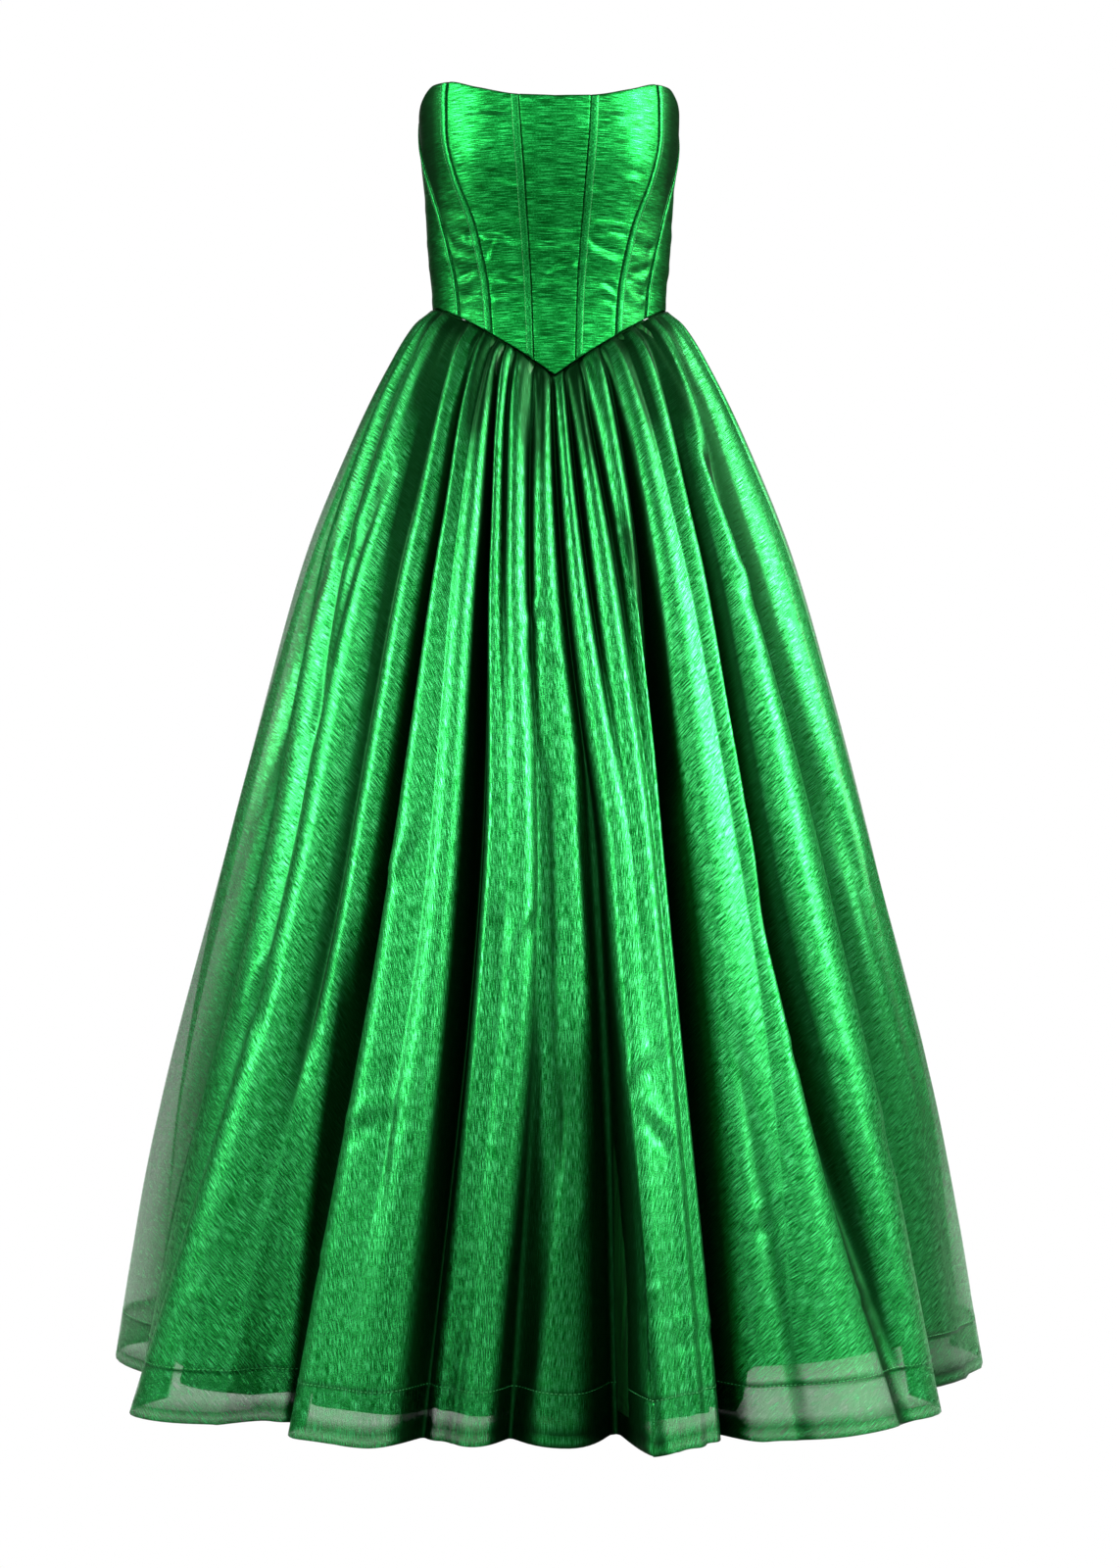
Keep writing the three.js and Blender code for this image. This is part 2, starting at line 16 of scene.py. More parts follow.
import bpy
import numpy as np
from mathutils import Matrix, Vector


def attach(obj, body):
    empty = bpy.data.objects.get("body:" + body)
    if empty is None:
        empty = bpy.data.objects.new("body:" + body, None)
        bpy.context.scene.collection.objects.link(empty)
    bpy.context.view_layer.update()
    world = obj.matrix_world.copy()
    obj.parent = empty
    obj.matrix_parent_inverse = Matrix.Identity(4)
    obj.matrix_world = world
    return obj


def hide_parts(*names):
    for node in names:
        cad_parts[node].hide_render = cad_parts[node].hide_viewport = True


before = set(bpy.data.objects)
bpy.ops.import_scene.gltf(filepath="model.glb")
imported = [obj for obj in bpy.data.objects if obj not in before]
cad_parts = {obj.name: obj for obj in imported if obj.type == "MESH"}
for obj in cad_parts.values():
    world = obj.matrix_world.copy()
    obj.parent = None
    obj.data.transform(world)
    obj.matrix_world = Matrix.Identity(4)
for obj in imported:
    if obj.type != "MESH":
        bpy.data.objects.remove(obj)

log = logging.getLogger("gown")

Array = np.ndarray
Row = tuple[float, ...]
Material = bpy.types.Material
Object = bpy.types.Object
Socket = bpy.types.NodeSocket
Tree = bpy.types.NodeTree
MM = 0.001
WHITE = (1, 1, 1, 1)
THREAD_WIDTH = 0.6
THREAD_LIFT = 0.05
BODY = "gown"
IMAGE_WIDTH, IMAGE_HEIGHT = 1143, 1600


class Side(Enum):
    """A side of the wearer's body, with the sign of its angles."""

    RIGHT = -1
    LEFT = 1

    @property
    def word(self) -> str:
        """The side's name as it stands in the pieces' names."""
        return self.name.lower()


# Curves and fields


def curve_rows(knots: Array, values: Array, x: Array) -> Array:
    """Evaluates smooth curves that never overshoot their knots.

    Monotone cubic Hermite: a knot's tangent is the harmonic mean of the slopes beside it, and zero
    where they differ in sign.

    Args:
        knots: K rising positions.
        values: Heights at the knots, one curve a row (L, K).
        x: S positions.

    Returns:
        The curves' heights (L, S).
    """
    knots = np.asarray(knots, float)
    values = np.atleast_2d(np.asarray(values, float))
    x = np.clip(np.asarray(x, float), knots[0], knots[-1])
    slopes = np.diff(values, axis=1) / np.diff(knots)
    tangents = np.zeros_like(values)
    before, after = slopes[:, :-1], slopes[:, 1:]
    total = before + after
    safe = np.where(np.abs(total) < 1e-12, 1.0, total)
    tangents[:, 1:-1] = np.where(before * after > 0, 2 * before * after / safe, 0.0)
    tangents[:, 0], tangents[:, -1] = slopes[:, 0], slopes[:, -1]
    i = np.clip(np.searchsorted(knots, x, side="right") - 1, 0, len(knots) - 2)
    step = knots[i + 1] - knots[i]
    t = (x - knots[i]) / step
    t2, t3 = t * t, t**3
    return (
        (2 * t3 - 3 * t2 + 1) * values[:, i]
        + (t3 - 2 * t2 + t) * step * tangents[:, i]
        + (3 * t2 - 2 * t3) * values[:, i + 1]
        + (t3 - t2) * step * tangents[:, i + 1]
    )


def curve(knots: Array, values: Array, x: Array) -> Array:
    """One smooth curve through the knots, at x of any shape."""
    x = np.asarray(x, float)
    return curve_rows(knots, np.asarray(values, float)[None, :], x.ravel())[0].reshape(x.shape)


def bell(x: Array, centre: float, spread: float) -> Array:
    """A Gaussian bump of height 1: exp(-((x - centre) / spread)^2)."""
    return np.exp(-(((x - centre) / spread) ** 2))


def smooth(x: Array, low: float, high: float) -> Array:
    """Rises from 0 at low to 1 at high as 3t^2 - 2t^3."""
    t = np.clip((x - low) / (high - low), 0, 1)
    return t * t * (3 - 2 * t)


def away_from_front(angle: Array) -> Array:
    """Degrees from centre front, 0 to 180, for any angle."""
    return np.abs((np.asarray(angle, float) + 180) % 360 - 180)


def ellipse(
    angle: Array, height: Array, half_width: Array, front: Array, back: Array, outward: Array
) -> Array:
    """Points of an ellipse whose front and back halves have their own depths.

    x = (half width + outward) sin(angle) and y = -(depth + outward) cos(angle).

    Args:
        angle: Degrees from centre front.
        height: Z in millimetres.
        half_width: Half the width from side to side.
        front: Depth of the front half.
        back: Depth of the back half.
        outward: Millimetres out from the ellipse.

    Returns:
        Points (..., 3).
    """
    sine, cosine = np.sin(np.radians(angle)), np.cos(np.radians(angle))
    depth = np.where(cosine > 0, front, back)
    x = (half_width + outward) * sine
    y = -(depth + outward) * cosine
    return np.stack(np.broadcast_arrays(x, y, height), axis=-1)


def unit(vectors: Array) -> Array:
    """The same directions with length 1."""
    return vectors / np.maximum(np.linalg.norm(vectors, axis=-1, keepdims=True), 1e-9)


def grid_normals(points: Array) -> Array:
    """Outward unit normals of a grid whose rows run down and columns run towards the wearer's left.

    Each is the cross product of the step down and the step across.
    """
    return unit(np.cross(np.gradient(points, axis=0), np.gradient(points, axis=1)))


def run_length(points: Array, axis: int) -> Array:
    """Length along a grid's rows (axis 1) or columns (axis 0) from its first line."""
    steps = np.linalg.norm(np.diff(points, axis=axis), axis=-1)
    start = np.zeros_like(np.take(steps, [0], axis=axis))
    return np.concatenate([start, np.cumsum(steps, axis=axis)], axis=axis)


# Meshes


def make_object(name: str, vertices: Array, faces: Array, uv: Array | None = None) -> Object:
    """Makes a smooth mesh object in the scene.

    Args:
        name: The object's name.
        vertices: Points in millimetres (N, 3).
        faces: Quads as vertex numbers (M, 4).
        uv: A texture place in metres for each vertex (N, 2).

    Returns:
        The object, at the origin.
    """
    mesh = bpy.data.meshes.new(name)
    mesh.from_pydata((vertices * MM).tolist(), [], faces.tolist())
    mesh.polygons.foreach_set("use_smooth", np.ones(len(faces), bool))
    if uv is not None:
        layer = mesh.uv_layers.new(name="cloth")
        layer.data.foreach_set("uv", uv[faces.ravel()].ravel().astype(np.float32))
    mesh.update()
    obj = bpy.data.objects.new(name, mesh)
    bpy.context.scene.collection.objects.link(obj)
    return obj


def grid_faces(rows: int, columns: int) -> Array:
    """Quads of a grid that face outwards where grid_normals does."""
    at = np.arange(rows * columns).reshape(rows, columns)
    a, b, c, d = at[:-1, :-1], at[1:, :-1], at[1:, 1:], at[:-1, 1:]
    return np.stack([a, b, c, d], axis=-1).reshape(-1, 4)


def cloth_shell(
    name: str, points: Array, uv: Array, thickness: float, marks: dict[str, Array] | None = None
) -> Object:
    """Makes a grid of points into cloth whose outer face is the grid.

    Args:
        name: The object's name.
        points: Outer face (rows, columns, 3) in millimetres.
        uv: Place in the flat cloth (rows, columns, 2) in metres.
        thickness: Thickness in millimetres, taken inwards.
        marks: A number for each point, by the name that the material reads.

    Returns:
        The object with its Solidify modifier.
    """
    rows, columns = points.shape[:2]
    obj = make_object(name, points.reshape(-1, 3), grid_faces(rows, columns), uv.reshape(-1, 2))
    for mark, values in (marks or {}).items():
        layer = obj.data.attributes.new(mark, "FLOAT", "POINT")
        layer.data.foreach_set("value", values.ravel().astype(np.float32))
    solidify = obj.modifiers.new("thickness", "SOLIDIFY")
    solidify.thickness = thickness * MM
    solidify.offset = -1
    return obj


def stitch_row(name: str, path: Array, normals: Array, length: float, pitch: float) -> Object:
    """Sews a row of stitches along a path: each a low lens, as a thread shows above the cloth.

    A stitch is a grid over its length and width whose height is a half ellipse in both.

    Args:
        name: The object's name.
        path: Points along the seam (N, 3) in millimetres.
        normals: Outward normals along it (N, 3).
        length: Length of a stitch.
        pitch: Distance between the starts of two stitches.

    Returns:
        The object with all the stitches.
    """
    along = run_length(path[None], 1)[0]
    starts = np.arange(pitch / 2, along[-1] - length, pitch)
    t = np.linspace(0, 1, 6)
    across = np.array([-1.0, -0.5, 0.5, 1.0])
    places = starts[:, None] + t * length
    centre = np.stack([np.interp(places, along, path[:, k]) for k in range(3)], axis=-1)
    normal = unit(np.stack([np.interp(places, along, normals[:, k]) for k in range(3)], axis=-1))
    beside = np.cross(normal, unit(np.gradient(centre, axis=1)))
    taper = np.sqrt(np.clip(1 - (2 * t - 1) ** 2, 0.02, 1))
    rise = np.sqrt(1 - across**2)
    half = THREAD_WIDTH / 2 * taper[None, :, None]
    points = (
        centre[:, :, None]
        + beside[:, :, None] * (across * half)[..., None]
        + normal[:, :, None] * (rise * half + THREAD_LIFT)[..., None]
    )
    count, rows, columns = points.shape[:3]
    cell = grid_faces(rows, columns)
    faces = (cell[None] + (np.arange(count) * rows * columns)[:, None, None]).reshape(-1, 4)
    return make_object(name, points.reshape(-1, 3), faces)


# Materials


def linear_rgb(code: str) -> tuple[float, float, float, float]:
    """Linear colour of an sRGB hex code such as #0F8A35."""
    channels = [int(code[i : i + 2], 16) / 255 for i in (1, 3, 5)]
    linear = [c / 12.92 if c <= 0.04045 else ((c + 0.055) / 1.055) ** 2.4 for c in channels]
    return (*linear, 1.0)


def add_node(tree: Tree, kind: str, settings: dict | None = None, **inputs: object) -> bpy.types.Node:
    """Adds a shader node, sets its properties and fills its sockets.

    Args:
        tree: The material's or world's node tree.
        kind: The node's type, without ShaderNode.
        settings: Properties of the node itself.
        inputs: Socket names with _ for a space, each a value or a socket to link from. A name that
            ends in a number, such as Value_1, means the socket with that index.

    Returns:
        The node.
    """
    node = tree.nodes.new(f"ShaderNode{kind}")
    for key, value in (settings or {}).items():
        setattr(node, key, value)
    for key, value in inputs.items():
        tail = key.rpartition("_")[-1]
        socket = node.inputs[int(tail)] if tail.isdigit() else node.inputs[key.replace("_", " ")]
        if isinstance(value, Socket):
            tree.links.new(value, socket)
        else:
            socket.default_value = value
    return node


def new_material(name: str) -> tuple[Material, Tree]:
    """An empty node material."""
    material = bpy.data.materials.new(name)
    material.use_nodes = True
    material.node_tree.nodes.clear()
    return material, material.node_tree


def add_surface(tree: Tree, **inputs: object) -> bpy.types.Node:
    """Adds the output and a principled shader with the given inputs, and returns the shader."""
    shader = add_node(tree, "BsdfPrincipled", **inputs)
    add_node(tree, "OutputMaterial", Surface=shader.outputs["BSDF"])
    return shader


def camera_or_light(tree: Tree, output: str, seen: bpy.types.Node, lit: bpy.types.Node) -> None:
    """Shows one shader to the camera and another one to the gown."""
    ray = add_node(tree, "LightPath").outputs["Is Camera Ray"]
    mixed = add_node(tree, "MixShader", _0=ray, _1=lit.outputs[0], _2=seen.outputs[0])
    add_node(tree, output, Surface=mixed.outputs[0])


def ramp(tree: Tree, fac: Socket, stops: list[tuple[float, str]]) -> Socket:
    """A colour ramp through hex colours at the given places."""
    node = add_node(tree, "ValToRGB", Fac=fac)
    elements = node.color_ramp.elements
    for i, (place, code) in enumerate(stops):
        element = elements[i] if i < 2 else elements.new(place)
        element.position = place
        element.color = linear_rgb(code)
    return node.outputs["Color"]


def bump(tree: Tree, height: Socket, strength: float, relief: float) -> Socket:
    """A normal that follows a height, which stands up to relief millimetres high."""
    return add_node(tree, "Bump", Strength=strength, Distance=relief * MM, Height=height).outputs["Normal"]


def noise(tree: Tree, place: Socket, scale: float, **inputs: float) -> Socket:
    """Noise at a place."""
    return add_node(tree, "TexNoise", Vector=place, Scale=scale, **inputs).outputs["Fac"]


def cloth_place(tree: Tree, width: float, length: float) -> Socket:
    """The place in the cloth's UV map, counted in millimetre sizes across and along the grain."""
    uv = add_node(tree, "UVMap", {"uv_map": "cloth"}).outputs["UV"]
    scale = (1 / (width * MM), 1 / (length * MM), 1.0)
    return add_node(tree, "Mapping", Vector=uv, Scale=scale).outputs["Vector"]


def spread_out(tree: Tree, pile: Socket, low: float = 0.0, high: float = 1.0) -> Socket:
    """The weave's noise, which lies between 0.5 and 0.95, spread over another range."""
    ends = {"From_Min": 0.5, "From_Max": 0.95, "To_Min": low, "To_Max": high}
    return add_node(tree, "MapRange", Value=pile, **ends).outputs["Result"]


@dataclass(frozen=True)
class MetallicWeave:
    """Cloth woven with a flat metal-coated yarn, such as lame or metallic organza.

    The coated yarn gives a tinted, metal-like gloss, and uneven yarns show as slubs: streaks along
    the grain that catch the light one by one.
    """

    name: str
    deep: str
    middle: str
    bright: str
    metallic: float
    roughness: float
    slub_width: float
    slub_length: float
    strength: float
    relief: float = 0.1
    opacity: float = 1.0
    shadow: str = "#002006"
    grain_weight: float = 0.4
    gloss_swing: float = 0.06
    opacity_swing: float = 0.15

    def build(self) -> Material:
        """Makes the material. The mesh's shade mixes it towards the shadow colour: painted shade, and the
        skirt's dark hem lines. Its cover closes an open weave.
        """
        material, tree = new_material(self.name)
        fine = self._streaks(tree, self.slub_width, self.slub_length, 2.0)
        grain = self._streaks(tree, self.slub_width * 0.8, self.slub_width * 2, 1.0)
        adding = {"operation": "MULTIPLY_ADD"}
        weights = {"Value_0": grain, "Value_1": self.grain_weight, "Value_2": fine}
        pile = add_node(tree, "Math", adding, **weights).outputs[0]
        stops = [(0.0, self.deep), (1.0, self.bright), (0.45, self.middle)]
        yarn = ramp(tree, spread_out(tree, pile), stops)
        # painted shade: the shade attribute darkens the yarn colour towards the shadow colour; on the skirt
        # it also holds the dark hem lines
        shade = add_node(tree, "Attribute", {"attribute_name": "shade"}).outputs["Fac"]
        mixing = {"data_type": "RGBA", "blend_type": "MIX"}
        colour = add_node(tree, "Mix", mixing, _0=shade, _6=yarn, _7=linear_rgb(self.shadow)).outputs[2]
        rough = spread_out(tree, pile, self.roughness + self.gloss_swing, self.roughness - self.gloss_swing)
        normal = bump(tree, pile, self.strength, self.relief)
        shader = add_surface(
            tree, Base_Color=colour, Metallic=self.metallic, Roughness=rough, Normal=normal
        )
        if self.opacity < 1:
            swing = self.opacity_swing
            thick = spread_out(tree, pile, self.opacity - swing, self.opacity + swing)
            cover = add_node(tree, "Attribute", {"attribute_name": "cover"}).outputs["Fac"]
            adding = {"operation": "ADD", "use_clamp": True}
            total = add_node(tree, "Math", adding, Value_0=thick, Value_1=cover).outputs[0]
            tree.links.new(total, shader.inputs["Alpha"])
        return material

    @staticmethod
    def _streaks(tree: Tree, width: float, length: float, detail: float) -> Socket:
        """Noise drawn out along V: width and length are a streak's size in millimetres."""
        return noise(tree, cloth_place(tree, width, length), 0.5, Detail=detail, Roughness=0.6)


@dataclass(frozen=True)
class SmoothSatin:
    """Plain polyester lining satin: opaque, soft gloss, with the faint ribs of its weave."""

    name: str
    colour: str
    roughness: float
    rib_width: float = 1.6
    rib_length: float = 40

    def build(self) -> Material:
        """Makes the material on the cloth's UV map."""
        material, tree = new_material(self.name)
        ribs = noise(tree, cloth_place(tree, self.rib_width, self.rib_length), 0.6, Detail=2.0)
        add_surface(
            tree,
            Base_Color=ramp(tree, ribs, [(0.3, "#021F08"), (0.75, self.colour)]),
            Roughness=self.roughness,
            Normal=bump(tree, ribs, 0.6, 0.1),
            Metallic=0.6,
        )
        return material


@dataclass(frozen=True)
class SewingThread:
    """Spun polyester thread: a matt twist of fibres a shade lighter than the cloth."""

    name: str
    colour: str

    def build(self) -> Material:
        """Makes the material with a fine twist on Object coordinates."""
        material, tree = new_material(self.name)
        twist = noise(tree, add_node(tree, "TexCoord").outputs["Object"], 900.0)
        colour = ramp(tree, twist, [(0.3, "#064516"), (0.7, self.colour)])
        add_surface(tree, Base_Color=colour, Roughness=0.55)
        return material


@dataclass(frozen=True)
class LacqueredZinc:
    """Die-cast zinc under coloured lacquer: smooth and glossy, with faint casting ripple."""

    name: str
    colour: str

    def build(self) -> Material:
        """Makes the material on Object coordinates."""
        material, tree = new_material(self.name)
        ripple = noise(tree, add_node(tree, "TexCoord").outputs["Object"], 400.0)
        add_surface(
            tree,
            Base_Color=linear_rgb(self.colour),
            Metallic=0.6,
            Roughness=0.35,
            Coat_Weight=0.5,
            Normal=bump(tree, ripple, 0.3, 0.1),
        )
        return material


# The bodice


@dataclass(frozen=True)
class Crease:
    """A soft crease in the plane that faces the viewer.

    The place is its middle, the run its length, the tilt degrees up towards the wearer's left.
    """

    x: float
    z: float
    run: float
    tilt: float
    width: float
    depth: float
    bend: float = 0.0

    def measure(self, x: Array, z: Array) -> tuple[Array, Array]:
        """Where points lie along the crease, -1 to 1, and how many millimetres above its bent line."""
        sine, cosine = math.sin(math.radians(self.tilt)), math.cos(math.radians(self.tilt))
        along = ((x - self.x) * cosine + (z - self.z) * sine) / (self.run / 2)
        return along, (z - self.z) * cosine - (x - self.x) * sine + self.bend * along**2


BODICE_CREASES = tuple(
    Crease(*row)
    for row in (
        (-68, 189, 60, -2, 3.5, 1.4, 2), (62, 190, 44, 3, 3.5, 1.1, -2), (-80, 160, 40, 4, 5.0, 0.8),
        (82, 128, 36, -8, 4.5, 0.9), (-62, 66, 58, -12, 4.5, 3.0, 4), (-66, 52, 30, 62, 3.0, 1.8, 3),
        (-50, 22, 46, -6, 4.0, 2.2, -3), (-56, 5, 40, 8, 4.0, 1.4), (-84, 62, 22, -40, 3.5, 1.6),
        (-92, 26, 30, 20, 4.5, 1.6), (-90, 4, 26, -12, 4.0, 1.2), (4, 56, 52, 4, 4.0, 2.2, -3),
        (10, 36, 58, 22, 4.0, 2.6, 5), (2, 20, 40, 10, 3.5, 1.2), (4, 70, 46, -3, 3.0, 1.0),
        (52, 50, 48, -22, 4.5, 2.8, -4), (66, 68, 40, -8, 3.5, 1.6, 3), (54, 80, 42, 4, 3.5, 1.1),
        (54, 14, 36, -12, 4.0, 2.0, 3), (60, -2, 36, 6, 4.0, 1.4), (92, 32, 30, 30, 4.5, 1.8),
        (90, 8, 26, -20, 4.0, 1.4), (104, 56, 30, 50, 5.0, 1.2), (-106, 60, 34, -55, 5.0, 1.2),
        (0, 108, 60, 2, 5.0, 0.6), (40, 112, 40, 6, 4.0, 0.7), (-44, 118, 44, -5, 4.0, 0.7),
        (0, -40, 30, 4, 4.0, 0.7), (-26, -30, 26, -8, 3.5, 0.8), (30, -28, 26, 12, 3.5, 0.8),
    )
)


@dataclass
class BodiceForm:
    """The bodice's outer surface, from the same sections, top edge and seams as its solids."""

    heights: Row = (-80, 0, 60, 120, 170, 205, 232)
    half_widths: Row = (124, 122.5, 127.5, 131, 136, 137, 134)
    fronts: Row = (104, 99, 104, 112, 114, 110, 106)
    backs: Row = (88, 86, 92, 98, 101, 101, 100)
    bust: Row = (7, 36, 19, 142, 42)
    neck_angles: Row = (0, 16, 35, 53, 65, 78, 92, 120, 150, 180)
    neck_heights: Row = (203, 205, 215, 225.5, 226.5, 219, 203, 186, 174, 170)
    point_drop: float = 80
    point_reach: float = 85
    point_curve: float = 1.7
    seam_shares: Row = (0, 0.2, 0.4, 0.6, 0.8, 1)
    seams: dict[str, Row] = field(
        default_factory=lambda: {
            "centre_panel": (10, 10.8, 11.8, 13.2, 14.4, 15.7),
            "princess": (31, 33.2, 38, 47.5, 52.6, 53.2),
            "side_front": (51.5, 54.8, 62.5, 75, 85, 96),
            "side_back": (119, 120, 122, 125, 128, 131),
            "centre_back": (180, 180, 180, 180, 180, 180),
        }
    )

    def waist(self, angle: Array) -> Array:
        """Height of the waist seam: it falls to the front point as (1 - angle / reach)^curve."""
        share = np.clip(1 - away_from_front(angle) / self.point_reach, 0, None)
        return -self.point_drop * share**self.point_curve

    def seam(self, name: str, share: Array) -> Array:
        """Angle of a seam at a share of the way up."""
        return curve(self.seam_shares, self.seams[name], share)

    def point(self, angle: Array, share: Array, outward: Array | float = 0.0) -> Array:
        """Points of the surface at angles and shares of the way up, moved out by some millimetres."""
        waist = self.waist(angle)
        neck = curve(self.neck_angles, self.neck_heights, away_from_front(angle))
        height = waist + (neck - waist) * share
        rise, at, spread, level, reach = self.bust
        bust = rise * bell(away_from_front(angle), at, spread) * bell(height, level, reach)
        sizes = (curve(self.heights, row, height) for row in (self.half_widths, self.fronts, self.backs))
        return ellipse(angle, height, *sizes, bust + outward)

    def creasing(self, points: Array) -> Array:
        """How far the cloth stands out at points of the front, from the table of creases.

        Each crease is a trough exp(-(v/width)^2) across its line, with a lower ridge beside it, and
        fades towards its ends as (1 - u^2)^1.5. The line bends, and its depth wavers along it.
        """
        x, z = points[..., 0], points[..., 2]
        total = np.zeros_like(x)
        for number, crease in enumerate(BODICE_CREASES):
            u, v = crease.measure(x, z)
            v = v + 0.8 * np.sin(3.1 * u + number)
            fade = np.clip(1 - u * u, 0, 1) ** 1.5
            waver = 1 + 0.25 * np.sin(5.3 * u + 2.1 * number)
            trough = bell(v, 0, crease.width)
            ridge = bell(v, -1.9 * crease.width, 1.5 * crease.width)
            total += crease.depth * fade * waver * (0.75 * ridge - trough)
        slack = 0.35 * np.sin(z / 5.2 + 0.9 * np.sin(x / 13.0)) + 0.2 * np.sin(z / 3.1 + x / 17.0)
        body = bell(z, 40, 70) * 0.7 + 0.3
        return np.where(points[..., 1] < 0, total + slack * body, 0.3 * slack)


@dataclass
class Bodice:
    """The boned bodice: nine panels, and six casings with their stitching."""

    form: BodiceForm
    thickness: float = 2.6
    cell: float = 1.6
    mean_radius: float = 125
    crowding: float = 0.35
    rows_in_front: int = 180
    rows_behind: int = 120
    seam_width: float = 1.3
    seam_depth: float = 1.1
    seam_gap: float = -0.5
    zip_half: float = 1.5
    roll_width: float = 1.6
    roll_depth: float = 0.9
    seam_shade: float = 0.85
    seam_shade_width: float = 0.9
    side_shade: float = 0.7
    side_shade_ends: tuple[float, float] = (52, 76)
    outer_front_shade: float = 0.5
    darkest: float = 0.9
    casing_thickness: float = 0.5
    casing_start: float = 0.9
    casing_lift: float = 0.35
    casing_follows: float = 0.35
    casing_ends: tuple[float, float] = (0.996, 0.004)
    casing_rows: int = 170
    casing_columns: int = 13
    edge_shade: float = 0.75
    edge_shade_width: float = 0.7
    bone_height: float = 0.9
    stitch_length: float = 2.4
    stitch_pitch: float = 3.2
    casings: tuple[tuple[str, str, float], ...] = (
        ("centre_casing", "centre_panel", 8.5),
        ("princess_casing", "princess", 9.5),
        ("side_casing", "side_front", 6.0),
    )
    panels: tuple[tuple[str, str, str], ...] = (
        ("inner_front_panel", "centre_panel", "princess"),
        ("outer_front_panel", "princess", "side_front"),
        ("side_panel", "side_front", "side_back"),
        ("back_panel", "side_back", "centre_back"),
    )

    def build(self, cloth: Material, strip: Material, thread: Material) -> None:
        """Makes every casing and the panels that they lie on, and gives them their cloth."""
        self.panel("centre_front_panel", "centre_panel", "centre_panel", None, cloth, [])
        for name, near, far in self.panels:
            for side in Side:
                trims = [
                    piece
                    for strip_name, seam, width in self.casings
                    if seam == near
                    for piece in self.casing(strip_name, seam, width, side, strip, thread)
                ]
                self.panel(name, near, far, side, cloth, trims)

    def panel(
        self, name: str, near: str, far: str, side: Side | None, cloth: Material, trims: list[Object]
    ) -> None:
        """Makes one panel between two seams.

        Rows run down from the top edge and columns across between the seams' angles. The surface
        sinks into each seam by depth * exp(-(distance / width)^2), and rolls in at the top edge.

        Args:
            name: The panel's name, without its side.
            near: The seam nearer to centre front.
            far: The seam further from it.
            side: The side, or None for the panel that lies across centre front.
            cloth: Its material.
            trims: The pieces that are sewn onto it; not used.
        """
        rows = self.rows_in_front if name.endswith("front_panel") else self.rows_behind
        share = np.linspace(1, 0, rows)[:, None]
        first, last = self.form.seam(near, share), self.form.seam(far, share)
        if side is None:
            start, end, node = -first, last, name
        else:
            start, end = (first, last) if side is Side.LEFT else (-last, -first)
            node = f"{name}_{side.word}"
        columns = int(float(np.max(np.radians(end - start)) * self.mean_radius) / self.cell) + 8
        # more columns beside the seams, where the surface sinks
        crowded = (1 - np.cos(np.linspace(0, np.pi, columns))) / 2
        t = crowded * self.crowding + np.linspace(0, 1, columns) * (1 - self.crowding)
        angle = start + (end - start) * t[None, :]
        flat = self.form.point(angle, share)
        normals = grid_normals(flat)
        across = run_length(flat, 1)
        across_mid = across - across[:, -1:] / 2
        # the edge columns step past the seam, or back from the zip
        gap = self.zip_half if far == "centre_back" else self.seam_gap / 2
        step = across_mid * 2 * gap / across[:, -1:]
        flat = flat - unit(np.gradient(flat, axis=1)) * step[..., None]
        edge = np.minimum(across, across[:, -1:] - across)
        top = run_length(flat, 0)
        sink = self.seam_depth * bell(edge, 0, self.seam_width)
        sink = sink + self.roll_depth * bell(top, 0, self.roll_width)
        out = self.form.creasing(flat) * smooth(edge, 0, 9) * smooth(top, 2, 16) * smooth(top[::-1], 0, 1)
        points = flat + normals * (out - sink)[..., None]
        # a place in the cloth of its own for each panel, so that no two have the same slubs
        uv = np.stack([points[..., 2], across_mid + 400 * (sum(map(ord, node)) % 7)], axis=-1)
        # painted shade: darker in the seam grooves and on the sides, which turn away from the front lights
        dark = self.seam_shade * bell(edge, 0, self.seam_shade_width)
        dark = dark + self.side_shade * smooth(away_from_front(angle), *self.side_shade_ends)
        # painted shade: the outer front panels are darkened all over
        if name == "outer_front_panel":
            dark = dark + self.outer_front_shade
        marks = {"shade": np.clip(dark, 0, self.darkest)}
        obj = cloth_shell(f"{node}_cloth", points, uv * MM, self.thickness, marks)
        dress(obj, cloth, node)
        log.info("panel %s: %d columns", node, columns)

    def casing(
        self, name: str, seam: str, width: float, side: Side, strip: Material, thread: Material
    ) -> list[Object]:
        """Makes one casing: a strip laid beside its seam, domed over the bone inside it.

        Its height across is lift + bone height * (1 - |2t - 1|^3), and its outer edge is stitched.

        Args:
            name: The casing's name, without its side.
            seam: The seam that it follows.
            width: Its width.
            side: The side of the body.
            strip: The material of the strip.
            thread: The material of its stitches.

        Returns:
            The strip and its stitches.
        """
        share = np.linspace(*self.casing_ends, self.casing_rows)[:, None]
        start = self.form.seam(seam, share)
        degree = self.form.point(start + 1, share) - self.form.point(start, share)
        per_mm = 1 / np.linalg.norm(degree, axis=-1)
        t = np.linspace(0, 1, self.casing_columns)[None, :]
        angle = side.value * (start + (self.casing_start + (width - self.casing_start) * t) * per_mm)
        if side is Side.RIGHT:
            angle = angle[:, ::-1]
        base = self.form.point(angle, share)
        normals = grid_normals(base)
        dome = 1 - np.abs(2 * t - 1) ** 3
        soft = self.casing_follows * self.form.creasing(base)
        points = base + normals * (self.casing_lift + self.bone_height * dome + soft)[..., None]
        across = np.broadcast_to(t * width, points.shape[:2])
        uv = np.stack([points[..., 2], across + 60 * side.value], axis=-1)
